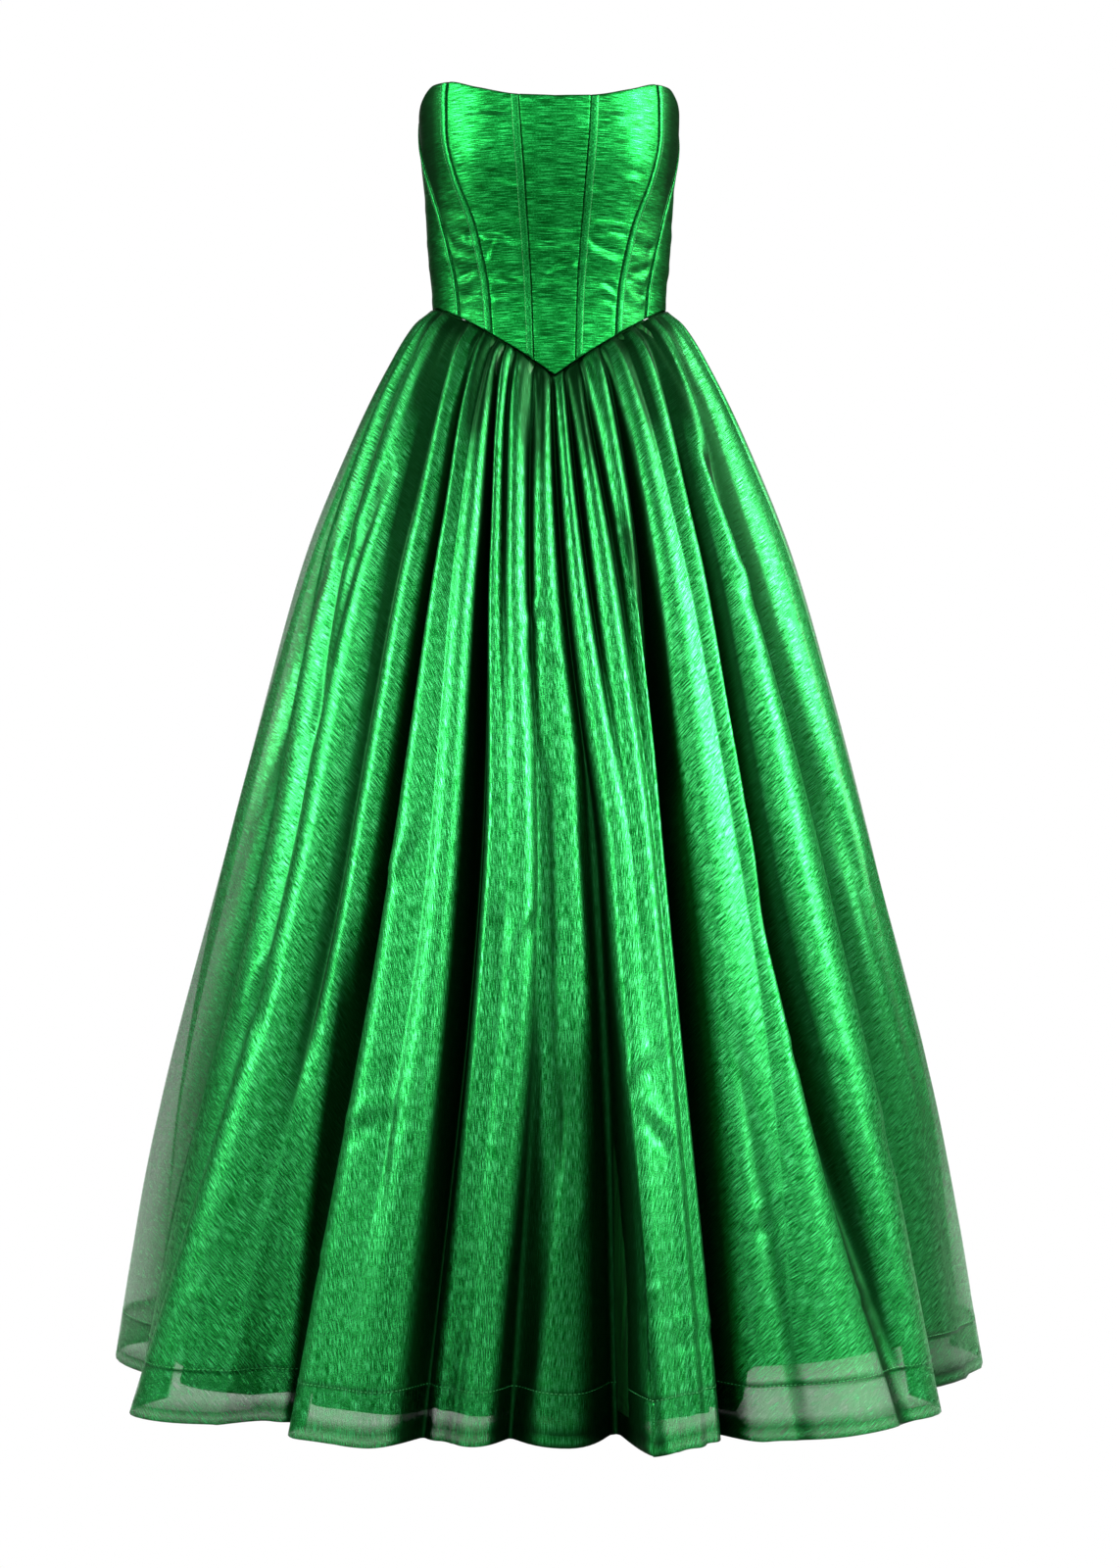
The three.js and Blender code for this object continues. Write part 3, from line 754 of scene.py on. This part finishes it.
        # painted shade along both edges of the strip, where it meets the panel
        edge = np.minimum(t, 1 - t) * width
        dark = np.broadcast_to(self.edge_shade * bell(edge, 0, self.edge_shade_width), points.shape[:2])
        node = f"{name}_{side.word}"
        obj = cloth_shell(f"{node}_cloth", points, uv * MM, self.casing_thickness, {"shade": dark})
        dress(obj, strip, node)
        column = -2 if side is Side.LEFT else 1
        sewn = (points[:, column], normals[:, column], self.stitch_length, self.stitch_pitch)
        stitches = stitch_row(f"{node}_stitches", *sewn)
        dress(stitches, thread, None)
        return [obj, stitches]


def dress(obj: Object, material: Material, node: str | None) -> None:
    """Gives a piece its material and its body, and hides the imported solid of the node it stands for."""
    obj.data.materials.append(material)
    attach(obj, BODY)
    if node is not None:
        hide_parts(node)


# The skirt


@dataclass(frozen=True)
class Fold:
    """A ridge of the skirt and the valley after it.

    The ridge and the valley are angles at the waist, a fifth of the way down, halfway and at the hem.
    The rise and the dip are millimetres out from the mean surface a tenth of the way down, halfway
    and at the hem.
    """

    ridge: Row
    valley: Row
    rise: Row
    dip: Row


FRONT_FOLDS = (
    Fold((-92, -87, -82, -103), (-83, -74, -66, -80), (4, 6, 7), (-5, -12, -34)),
    Fold((-74, -66, -58, -70), (-68, -60, -53, -64), (5, 3, -16), (-3, -2, -24)),
    Fold((-60, -51, -46.5, -55), (-46, -41, -41, -45), (6, 16, 46), (-12, -12, 14)),
    Fold((-41, -36, -37.2, -41.5), (-36, -31.5, -32.8, -38), (4, 2, -30), (-8, -34, -38)),
    Fold((-33, -28, -27.5, -32), (-29, -25, -23, -27.5), (7, 14, 20), (4, 11, 24)),
    Fold((-26.5, -21.8, -20, -23.5), (-24, -18.2, -15.8, -18.8), (8, 18, 30), (-12, -36, -28)),
    Fold((-21.5, -16.2, -12.5, -16.5), (-19, -13.8, -10, -14.7), (3, 13, -18), (-6, 10, -10)),
    Fold((-14.5, -11, -7.4, -12), (-9.5, -7.6, -4.6, -8), (6, 13, 2), (-6, -2, -38)),
    Fold((-5, -3.6, 0, -0.8), (-1.5, 0.5, 5.2, 5.8), (7, 4, 4), (-6, -12, -52)),
    Fold((1.5, 3.3, 8.2, 7.8), (4.5, 6.3, 10.6, 10.8), (7, 15, 46), (-9, 12, 32)),
    Fold((7.5, 9.8, 12.6, 13.4), (11.5, 13.3, 15, 15.4), (7, 15, 20), (-8, 4, 4)),
    Fold((15.5, 16.6, 15.9, 16.4), (22, 20.6, 18, 18.6), (7, 5, 2), (-12, -36, -26)),
    Fold((27, 25, 24.5, 22), (33, 29, 29.3, 25.5), (8, 15, 18), (4, 12, 25)),
    Fold((38, 32.5, 31.6, 32), (45, 36.4, 34.2, 43.5), (8, 17, 36), (-8, -34, 24)),
    Fold((53, 43, 43, 46.5), (61, 50.6, 56.5, 58), (8, 18, 26), (-9, -24, -46)),
    Fold((72, 66, 66, 88), (81, 81, 82, 97), (5, 11, -1), (-6, -6, -14)),
)


SKIRT_CREASES = tuple(
    Crease(*row)
    for row in (
        (-26, -330, 46, 62, 7, 2.2, 6), (-12, -372, 34, -38, 6, 1.8, 4), (62, -760, 50, 50, 8, 2.4, 6),
        (78, -812, 40, -48, 7, 2.0), (10, -905, 60, 64, 8, 2.2, -5), (52, -968, 56, 8, 7, 2.2, 5),
        (-45, -640, 60, 70, 8, 1.6, 5), (-150, -560, 70, 66, 9, 1.8, -6), (-186, -806, 60, 20, 8, 1.8, 6),
        (-300, -700, 80, 74, 10, 2.2, 8), (-255, -930, 60, -24, 9, 2.0), (-330, -990, 70, 10, 9, 2.0, 6),
        (205, -540, 70, -66, 9, 1.8, 6), (240, -760, 60, -22, 8, 2.0, -5), (180, -900, 56, 30, 8, 2.0),
        (318, -840, 70, -74, 10, 2.4, 6), (300, -985, 60, -8, 8, 2.0, 5), (-210, -250, 50, 58, 8, 1.8),
        (190, -300, 60, -58, 8, 1.8, 5), (110, -1000, 54, -6, 7, 1.8, -4),
        (-120, -1010, 60, 8, 7, 1.8, 4),
    )
)


@dataclass(frozen=True)
class Furrow:
    """A long soft trough down the skirt, between an angle and a share at its top and at its foot.

    The width and depth are millimetres. Dark is the shade painted at its bottom, 0 to 1, as little light
    reaches there.
    """

    angle_top: float
    share_top: float
    angle_foot: float
    share_foot: float
    width: float
    depth: float
    dark: float


SKIRT_FURROWS = tuple(
    Furrow(*row)
    for row in (
        (-35.2, 0.54, -38.6, 1.15, 12, 7, 1.0), (31.4, 0.48, 43.5, 1.1, 13, 7, 1.0),
        (59.0, 0.4, 80, 1.15, 13, 7, 1.0), (-3.6, 0.36, -2.4, 0.8, 9, 5, 0.7),
        (-1.8, 0.66, -6.5, 0.98, 10, 5, 0.8), (3.0, 0.36, 9.5, 1.1, 10, 5, 0.8),
        (0.6, 0.6, 3.0, 1.1, 36, 3, 0.75), (1.6, 0.8, 1.8, 1.15, 56, 1, 0.7),
        (-50, 0.12, -54, 0.42, 9, 5, 0.7), (16.0, 0.14, 20.0, 0.46, 8, 4, 0.8),
        (46, 0.1, 51.5, 0.4, 10, 6, 0.9), (23.5, 0.6, 27.0, 1.1, 8, 4, 0.5),
        (-26.0, 0.66, -23.0, 0.86, 8, 3, 0.35), (-11.5, 0.52, -9.5, 0.72, 8, 3, 0.3),
        (66, 0.5, 74, 0.8, 9, 4, 0.5), (-63, 0.2, -76, 0.6, 10, 4, 0.5),
        (-52, -0.03, -47, 0.17, 13, 2, 0.75), (-29.5, -0.03, -24, 0.16, 10, 2, 0.85),
        (-10, -0.03, -6, 0.16, 13, 2, 0.8), (8.5, -0.03, 10, 0.16, 8, 2, 0.8),
        (33, -0.03, 30, 0.16, 8, 2, 0.75), (47, -0.03, 42, 0.17, 14, 2, 0.75),
    )
)


@dataclass
class SkirtForm:
    """The skirt's layers, from the same sections and folds as their solids."""

    bodice: BodiceForm
    shares: Row = (0, 0.015, 0.06, 0.125, 0.23, 0.36, 0.55, 0.78, 1)
    half_widths: Row = (123, 140, 169, 203, 249, 290, 344, 406, 455)
    fronts: Row = (101, 115, 140, 172, 223, 268, 328, 390, 432)
    backs: Row = (87, 103, 135, 168, 218, 264, 326, 388, 430)
    hem_height: float = -1100
    waist_gap: float = 0.8
    angle_shares: Row = (0, 0.2, 0.5, 1)
    height_shares: Row = (0, 0.1, 0.5, 1)
    gather_waist: float = 2.2
    side_room: float = 5
    back_scale: float = 0.12
    pinch: float = 1.35
    valley_round: float = 0.1
    lining_shares: Row = (0, 0.15, 0.38, 0.62, 0.88, 1)
    lining_sizes: Row = (0.978, 0.935, 0.907, 0.912, 0.948, 0.95)
    lining_leans: Row = (0, 0.025, 0.05, 0.042, 0.022, 0.02)
    lining_follows: float = 0.55
    lining_drop: float = 1.5
    lining_hem_angles: Row = (-104, 20.5, 22.5, 110, 200, 256)
    lining_hem_heights: Row = (-1076, -1078, -1038, -1038, -1056, -1076)
    grain_lines: Row = (0, 4, 6, 8, 12, 22, 24, 30)
    grain_turns: Row = (-68, -60, -47, -20, -5, 0, 58, 66)
    back_turn: float = 66

    def __post_init__(self) -> None:
        """Works out the fold lines all round: ridge and valley by turns, the front's and the back's."""
        front_angles = np.array([(fold.ridge, fold.valley) for fold in FRONT_FOLDS], float)
        front_heights = np.array([(fold.rise, fold.dip) for fold in FRONT_FOLDS], float)
        start, end = front_angles[0, 0], front_angles[-1, 1]
        squeeze = (360 - (end - start) - 2 * self.side_room) / (end - start)
        back_angles = end + self.side_room + (front_angles - start) * squeeze
        scale = 1 + self.back_scale * np.cos(1.7 * np.arange(len(FRONT_FOLDS)))
        back_heights = front_heights * scale[:, None, None]
        self.angles = np.concatenate([front_angles, back_angles]).reshape(-1, 4)
        outer = np.concatenate([front_heights, back_heights]).reshape(-1, 3)
        sign = np.where(np.arange(len(outer)) % 2 == 0, 1.0, -1.0)[:, None]
        self.heights = np.concatenate([sign * self.gather_waist, outer], axis=1)
        self.first_valley = len(FRONT_FOLDS) * 2 - 1
        self.centre_back = len(FRONT_FOLDS) * 2 + 17
        self.count = len(self.angles)

    def profile(self, place: Array, share: Array) -> tuple[Array, Array, Array]:
        """Angle, height over the mean surface, and how deep in a fold each point lies.

        A flank from valley to ridge has its angle go as t^pinch and its height as a quarter sine of a
        softened t, so that a ridge is round and a valley narrow. The depth is 1 at the bottom of a
        valley that lies 26 mm under its two ridges, or 5 mm at the waist, where the pleats are small.

        Args:
            place: Fold line numbers, whole on a line and in between on a flank (C).
            share: Shares of the way down (S).

        Returns:
            Three arrays (S, C).
        """
        number = np.floor(place).astype(int)
        t = place - number
        here, turn = number % self.count, number // self.count
        after, after_turn = (number + 1) % self.count, (number + 1) // self.count
        angles = curve_rows(np.array(self.angle_shares), self.angles, share)
        heights = curve_rows(np.array(self.height_shares), self.heights, share)
        angle_here = angles[here].T + 360 * turn
        angle_after = angles[after].T + 360 * after_turn
        height_here, height_after = heights[here].T, heights[after].T
        from_valley = (number % 2 == 1)[None, :]
        valley_angle = np.where(from_valley, angle_here, angle_after)
        ridge_angle = np.where(from_valley, angle_after, angle_here)
        low = np.where(from_valley, height_here, height_after)
        high = np.where(from_valley, height_after, height_here)
        climb = np.where(from_valley, t[None, :], 1 - t[None, :])
        spread = climb**self.pinch
        e = self.valley_round
        power = 1 / self.pinch
        soft = ((spread**2 + e**2) ** (power / 2) - e**power) / ((1 + e**2) ** (power / 2) - e**power)
        angle = valley_angle + (ridge_angle - valley_angle) * spread
        rise = np.sin(soft * np.pi / 2)
        room = (5 + 9 * smooth(share, 0, 0.05) + 12 * smooth(share, 0.05, 0.5))[:, None]
        valley = np.where(number % 2 == 1, number, number + 1)
        beside = (heights[(valley - 1) % self.count] + heights[(valley + 1) % self.count]).T / 2
        depth = np.clip((1 - rise) * (beside - low) / room, 0, 1)
        return angle, low + (high - low) * rise, depth

    def grain_turn(self, place: Array) -> Array:
        """Degrees that the cloth's grain leans from each fold, the same from one valley to the next."""
        ridge = 2 * np.round(place / 2)
        back = self.back_turn * (ridge - self.centre_back) / (self.centre_back - self.first_valley)
        return np.where(place <= self.first_valley, curve(self.grain_lines, self.grain_turns, ridge), back)

    def _surface(self, angle: Array, share: Array, drop: float, size: Array, outward: Array) -> Array:
        """Points of the mean surface, scaled by size and moved out by some millimetres."""
        top = self.bodice.waist(angle) - drop
        height = top + (self.hem_height - top) * share
        rows = (self.half_widths, self.fronts, self.backs)
        return ellipse(angle, height, *(curve(self.shares, row, share) * size for row in rows), outward)

    def organza(self, place: Array, share: Array) -> tuple[Array, Array]:
        """The organza's outer surface with its small folds and creases, and the shade painted into its
        valleys and furrows.
        """
        angle, height, depth = self.profile(place, share)
        base = self._surface(angle, share[:, None], self.waist_gap, 1.0, height)
        sink, dark = self.furrows(angle, share, np.hypot(base[..., 0], base[..., 1]))
        out = self.small_folds(angle, share) + self.creasing(base) * (1 - depth) - sink
        return base + grid_normals(base) * out[..., None], np.maximum(smooth(depth, 0.28, 0.62), dark)

    def lining(self, place: Array, part: Array) -> Array:
        """The lining's outer surface: smaller, leaning to one side, and following the folds in part.

        Its hem is longer on the wearer's right, with a step near centre front, and a part of 1 is that
        hem.
        """
        near = self.lining_hem_heights[0] / self.hem_height
        angle, height, _ = self.profile(place, part * near)
        top = self.bodice.waist(angle) - self.lining_drop
        hem = curve(self.lining_hem_angles, self.lining_hem_heights, angle)
        share = part[:, None] * (top - hem) / (top - self.hem_height)
        lean = curve(self.lining_shares, self.lining_leans, share)
        size = curve(self.lining_shares, self.lining_sizes, share) + lean * np.sin(np.radians(angle))
        outward = np.minimum(0, height) + np.maximum(0, height) * self.lining_follows
        return self._surface(angle, share, self.lining_drop, size, outward)

    def small_folds(self, angle: Array, share: Array) -> Array:
        """How far the organza stands out from its main folds.

        A sum of fine gathers that fade within the first tenth below the waist, and of long soft
        ripples that lean across the main folds.
        """
        s = share[:, None]
        phase = angle + 1.7 * np.sin(angle / 9.0) + 0.8 * np.sin(angle / 3.1)
        gathers = np.sin(phase * 1.05) + 0.6 * np.sin(phase * 1.83 + 1.0)
        fade = np.exp(-((s / 0.07) ** 1.3)) * smooth(s, 0, 0.012)
        ripples = np.sin(angle / 4.3 + 5 * s) * np.sin(6.0 * s + angle / 21.0)
        return 0.8 * gathers * fade + 1.3 * ripples * smooth(s, 0.1, 0.5)

    @staticmethod
    def furrows(angle: Array, share: Array, reach: Array) -> tuple[Array, Array]:
        """How deep the long furrows sink at each point, and how much shade is painted into them.

        A furrow is exp(-u^2) across its line, where u is the distance over its width. Its ends fade
        over a sixth of its length, and the short folds under the waist fade over most of theirs.
        """
        sink, dark = np.zeros_like(angle), np.zeros_like(angle)
        for furrow in SKIRT_FURROWS:
            along = (share[:, None] - furrow.share_top) / (furrow.share_foot - furrow.share_top)
            line = furrow.angle_top + (furrow.angle_foot - furrow.angle_top) * along
            u = np.radians(angle - line) * reach / furrow.width
            fade_from = 0.83 if furrow.share_foot - furrow.share_top > 0.2 else 0.3
            ends = smooth(along, 0, 0.17) * (1 - smooth(along, fade_from, 1))
            trough = np.exp(-u * u)
            sink += furrow.depth * trough * ends
            dark = np.maximum(dark, furrow.dark * smooth(trough, 0.2, 0.8) * ends)
        return sink, dark

    @staticmethod
    def creasing(points: Array) -> Array:
        """Short slanting crumples of the thin cloth, each a low ridge with a trough on its lower side.

        A crease is 3u * exp(-u^2) times its depth across its line, faded along it by exp(-v^4).
        """
        x, z = points[..., 0], points[..., 2]
        total = np.zeros_like(x)
        for crease in SKIRT_CREASES:
            v, u = crease.measure(x, z)
            u = u / crease.width
            total += crease.depth * 3 * u * np.exp(-u * u) * np.exp(-(v**4))
        return np.where(points[..., 1] < 0, total, 0.0)


@dataclass
class Skirt:
    """The organza skirt with the facing in its hem, and the lining skirt."""

    form: SkirtForm
    organza_thickness: float = 0.5
    facing_depth: float = 50
    facing_thickness: float = 0.4
    facing_inset: float = 1.6
    hem_turning: float = 12
    stitch_length: float = 3.0
    stitch_pitch: float = 4.4
    lining_thickness: float = 0.6
    valley_shade: float = 0.92
    line_shade: float = 0.85
    darkest: float = 0.95
    sheer_from_front: float = 92
    sheer_spread: float = 24
    cut_radius: float = 330
    cut_angle: float = 49
    columns_per_flank: int = 9
    lining_columns: int = 5
    lining_rows: int = 72
    rows: int = 130

    def build(self, organza: Material, facing: Material, lining: Material, thread: Material) -> None:
        """Makes every panel, its facing and its hem stitching."""
        f = self.form
        for name, start, end, centre in (
            ("front", -1, f.first_valley, 0.5),
            ("back_left", f.first_valley, f.centre_back, 1.0),
            ("back_right", f.centre_back, f.count - 1, 0.0),
        ):
            self.panel(name, start, end, centre, organza, facing, thread)
        self.lining_half("lining_front", -1, f.first_valley, lining)
        self.lining_half("lining_back", f.first_valley, f.count - 1, lining)

    def panel(
        self,
        name: str,
        start: int,
        end: int,
        centre: float,
        organza: Material,
        facing: Material,
        thread: Material,
    ) -> None:
        """Makes one organza panel and the facing inside its hem.

        Its UV place is measured across and along the grain, which leans from the folds by
        SkirtForm.grain_turn: the front's centre hangs on the straight grain and its sides on the bias.

        Args:
            name: The panel's name.
            start: The fold line at its first side.
            end: The fold line at its last side.
            centre: Where the centre line lies across the panel, 0 to 1.
            organza: The material.
            facing: The facing's material.
            thread: The stitches' material.
        """
        # rows closer together at the waist and at the hem
        facing_top = 1 + self.facing_depth / self.form.hem_height
        near_hem = [facing_top - 0.001, facing_top + 0.001, 0.989, 0.995, 0.9985]
        share = np.unique(np.concatenate([np.linspace(0, 1, self.rows) ** 1.35, near_hem]))
        # a flank more on either side, so that the normals agree at the seams
        skip = self.columns_per_flank
        place = np.linspace(start - 1, end + 1, (end - start + 2) * skip + 1)
        wide, dark = self.form.organza(place, share)
        normals = grid_normals(wide)[:, skip:-skip]
        points, dark = wide[:, skip:-skip], dark[:, skip:-skip]
        across, down = run_length(points, 1), run_length(points, 0)
        across = across - across[:, int(centre * (across.shape[1] - 1)), None]
        turn = np.radians(self.form.grain_turn(place[skip:-skip]))
        flat_x = across * np.cos(turn) + down * np.sin(turn)
        flat_y = down * np.cos(turn) - across * np.sin(turn)
        uv = np.stack([flat_x + 900 * (start + 2), flat_y], axis=-1) * MM
        obj = cloth_shell(
            f"skirt_{name}_cloth", points, uv, self.organza_thickness, self._marks(points, down, dark)
        )
        dress(obj, organza, f"skirt_{name}")
        rows = np.flatnonzero(share >= facing_top)
        inner = (points - normals * self.facing_inset)[rows]
        plain = np.zeros(inner.shape[:2])
        marks = {"shade": plain, "cover": plain}
        band = cloth_shell(f"hem_facing_{name}_cloth", inner, uv[rows], self.facing_thickness, marks)
        dress(band, facing, f"hem_facing_{name}")
        row = int(np.argmin(np.abs(share - facing_top)))
        sewn = (points[row], normals[row], self.stitch_length, self.stitch_pitch)
        stitches = stitch_row(f"hem_stitches_{name}", *sewn)
        dress(stitches, thread, None)

    def _marks(self, points: Array, down: Array, dark: Array) -> dict[str, Array]:
        """How much shade is painted into the organza, and how far its weave is closed.

        Seams and hem lines lie double, the waist is gathered, and the lining backs the front and the
        back. The sides hang clear of the lining, so light comes through them and their valleys too.

        Args:
            points: The panel's points.
            down: Their distance from the waist seam.
            dark: The shade painted into their folds, 0 to 1.

        Returns:
            The painted shade with the hem lines, and the cover, as the material reads them.
        """
        above = down[-1:] - down
        # the facing's upper edge, the hem's edge and the edge of its turning show as lines
        line = bell(above, self.facing_depth, 1.6) + 0.8 * bell(above, 0, 2.2)
        line = line + 0.5 * bell(above, self.hem_turning, 1.2)
        # painted shade: a narrow dark band at the waist seam under the bodice's edge, and a broad darkening
        # of the upper skirt below it
        waist = 0.5 * bell(down, 0, 2.5) + 0.64 * bell(down, 0, 250)
        seen_at = away_from_front(np.degrees(np.arctan2(points[..., 0], -points[..., 1])))
        clear = bell(seen_at, self.sheer_from_front, self.sheer_spread)
        # painted shade at the bottoms of the folds and furrows, left out at the sides, where light comes
        # through
        painted_valley_shade = self.valley_shade * dark * (1 - clear)
        backed = 0.32 * (1 - clear) * smooth(above, 42, 62)
        double = 0.2 * (above < self.hem_turning) + 0.3 * bell(seen_at, 0, 12) * (above < 60)
        gathered = 0.55 * bell(down, 0, 150)
        shade = np.clip(self.line_shade * line + waist + painted_valley_shade, 0, self.darkest)
        cover = backed + double + gathered + 0.5 * np.clip(line, 0, 1) + 0.5 * painted_valley_shade
        return {"shade": shade, "cover": cover}

    def lining_half(self, name: str, start: int, end: int, lining: Material) -> None:
        """Makes the lining's front or back as a smooth sheet inside the organza.

        Args:
            name: The node's name.
            start: The fold line at its first side.
            end: The fold line at its last side.
            lining: The material.
        """
        place = np.linspace(start, end, (end - start) * self.lining_columns + 1)
        points = self.form.lining(place, np.linspace(0, 1, self.lining_rows) ** 1.25)
        across, down = run_length(points, 1), run_length(points, 0)
        uv = np.stack([across - across[:, -1:] / 2, -down], axis=-1) * MM
        obj = cloth_shell(f"{name}_cloth", points, uv, self.lining_thickness)
        dress(obj, lining, name)


# The zip


def dress_zip(tape: Material, lacquer: Material) -> None:
    """Gives the centre back zip's tape, slider and pull their finishes on their own solids."""
    for name, material in (("back_zip", tape), ("zip_slider", lacquer), ("zip_pull", lacquer)):
        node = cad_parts[name]
        node.data.materials.clear()
        node.data.materials.append(material)


# The studio


@dataclass(frozen=True)
class Softbox:
    """A rectangular studio light: where it stands, what it faces, its size and its power."""

    name: str
    place: tuple[float, float, float]
    target: tuple[float, float, float]
    width: float
    height: float
    watts: float

    def build(self) -> None:
        """Adds the light."""
        light = bpy.data.lights.new(self.name, "AREA")
        light.shape = "RECTANGLE"
        light.size, light.size_y = self.width, self.height
        light.energy = self.watts
        obj = bpy.data.objects.new(self.name, light)
        obj.location = self.place
        direction = Vector(self.target) - Vector(self.place)
        obj.rotation_euler = direction.to_track_quat("-Z", "Y").to_euler()
        bpy.context.scene.collection.objects.link(obj)


@dataclass
class Studio:
    """Camera, white surroundings, pale floor and softboxes, in metres and watts."""

    camera_distance: float = 3.193
    camera_height: float = -0.4965
    camera_yaw: float = 3.2
    focal_length: float = 69.75
    sensor_height: float = 36.0
    shift_x: float = 0.0069
    floor_height: float = -1.112
    floor_reach: float = 4.0
    room_light: float = 0.03
    boxes: tuple[Softbox, ...] = (
        Softbox("left_front", (-1.2, -3.0, 1.4), (0, 0, -0.4), 1.4, 2.2, 56),
        Softbox("right_front", (1.4, -2.9, 1.5), (0, 0, -0.4), 1.4, 2.2, 62),
        Softbox("left_side", (-2.8, -0.6, 1.3), (0, 0, -0.5), 1.4, 2.0, 210),
        Softbox("right_side", (2.8, -0.6, 1.3), (0, 0, -0.5), 1.4, 2.0, 335),
        Softbox("back_light", (0.0, 3.2, 0.9), (0, 0, -0.4), 2.4, 2.4, 10),
    )

    def build(self) -> None:
        """Makes the camera, world, floor and lights."""
        scene = bpy.context.scene
        yaw = math.radians(self.camera_yaw)
        camera = bpy.data.cameras.new("camera")
        camera.sensor_fit = "VERTICAL"
        camera.sensor_height = self.sensor_height
        camera.sensor_width = self.sensor_height * IMAGE_WIDTH / IMAGE_HEIGHT
        camera.lens = self.focal_length
        camera.shift_x = self.shift_x
        camera.clip_end = 100
        obj = bpy.data.objects.new("camera", camera)
        x, y = -self.camera_distance * math.sin(yaw), -self.camera_distance * math.cos(yaw)
        obj.location = (x, y, self.camera_height)
        obj.rotation_euler = (math.radians(90), 0, -yaw)
        scene.collection.objects.link(obj)
        scene.camera = obj
        scene.view_settings.view_transform = "Standard"
        self.world(scene)
        self.floor()
        for box in self.boxes:
            box.build()

    def world(self, scene: bpy.types.Scene) -> None:
        """White to the camera and a dim grey to the cloth, as a room behind studio lights is."""
        scene.world = bpy.data.worlds.new("studio")
        scene.world.use_nodes = True
        tree = scene.world.node_tree
        tree.nodes.clear()
        seen = add_node(tree, "Background", Color=WHITE, Strength=1.0)
        room = add_node(tree, "Background", Color=WHITE, Strength=self.room_light)
        camera_or_light(tree, "OutputWorld", seen, room)

    def floor(self) -> None:
        """A pale, evenly lit floor under the hem."""
        corners = np.array([[-1, -1, 0], [1, -1, 0], [1, 1, 0], [-1, 1, 0]], float) * self.floor_reach
        points = (corners + [0, 0, self.floor_height]) / MM
        floor = make_object("floor", points, np.array([[0, 1, 2, 3]]))
        material, tree = new_material("matt white paper")
        glow = add_node(tree, "Emission", Color=WHITE, Strength=1.0)
        paper = add_node(tree, "BsdfDiffuse", Color=(0.5, 0.5, 0.5, 1))
        camera_or_light(tree, "OutputMaterial", glow, paper)
        floor.data.materials.append(material)


def main() -> None:
    """Builds and dresses the gown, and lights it."""
    logging.basicConfig(level=logging.INFO, format="%(name)s: %(message)s")
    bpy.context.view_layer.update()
    satin = MetallicWeave(
        "metallic satin with slubs", "#003209", "#02601E", "#28BC58",
        metallic=0.97, roughness=0.46, slub_width=0.45, slub_length=10, strength=0.42,
    )
    strip = MetallicWeave(
        "metallic satin on the bias", "#003C10", "#046424", "#249E4C",
        metallic=0.95, roughness=0.44, slub_width=0.6, slub_length=1.2, strength=0.4,
    )
    organza = MetallicWeave(
        "metallic organza", "#00420F", "#07802A", "#62E896",
        metallic=0.97, roughness=0.46, slub_width=0.28, slub_length=6, strength=0.36, opacity=0.36,
    )
    facing = replace(organza, name="organza hem facing", metallic=0.95)
    lining = SmoothSatin("lining satin", "#0A6A24", 0.5)
    thread = SewingThread("green sewing thread", "#2FB458").build()
    lacquer = LacqueredZinc("green lacquered zinc", "#0A5A22")
    tape = SewingThread("woven zip tape", "#0C6A28")
    form = BodiceForm()
    Bodice(form).build(satin.build(), strip.build(), thread)
    Skirt(SkirtForm(form)).build(organza.build(), facing.build(), lining.build(), thread)
    dress_zip(tape.build(), lacquer.build())
    Studio().build()


if __name__ == "__main__":
    main()
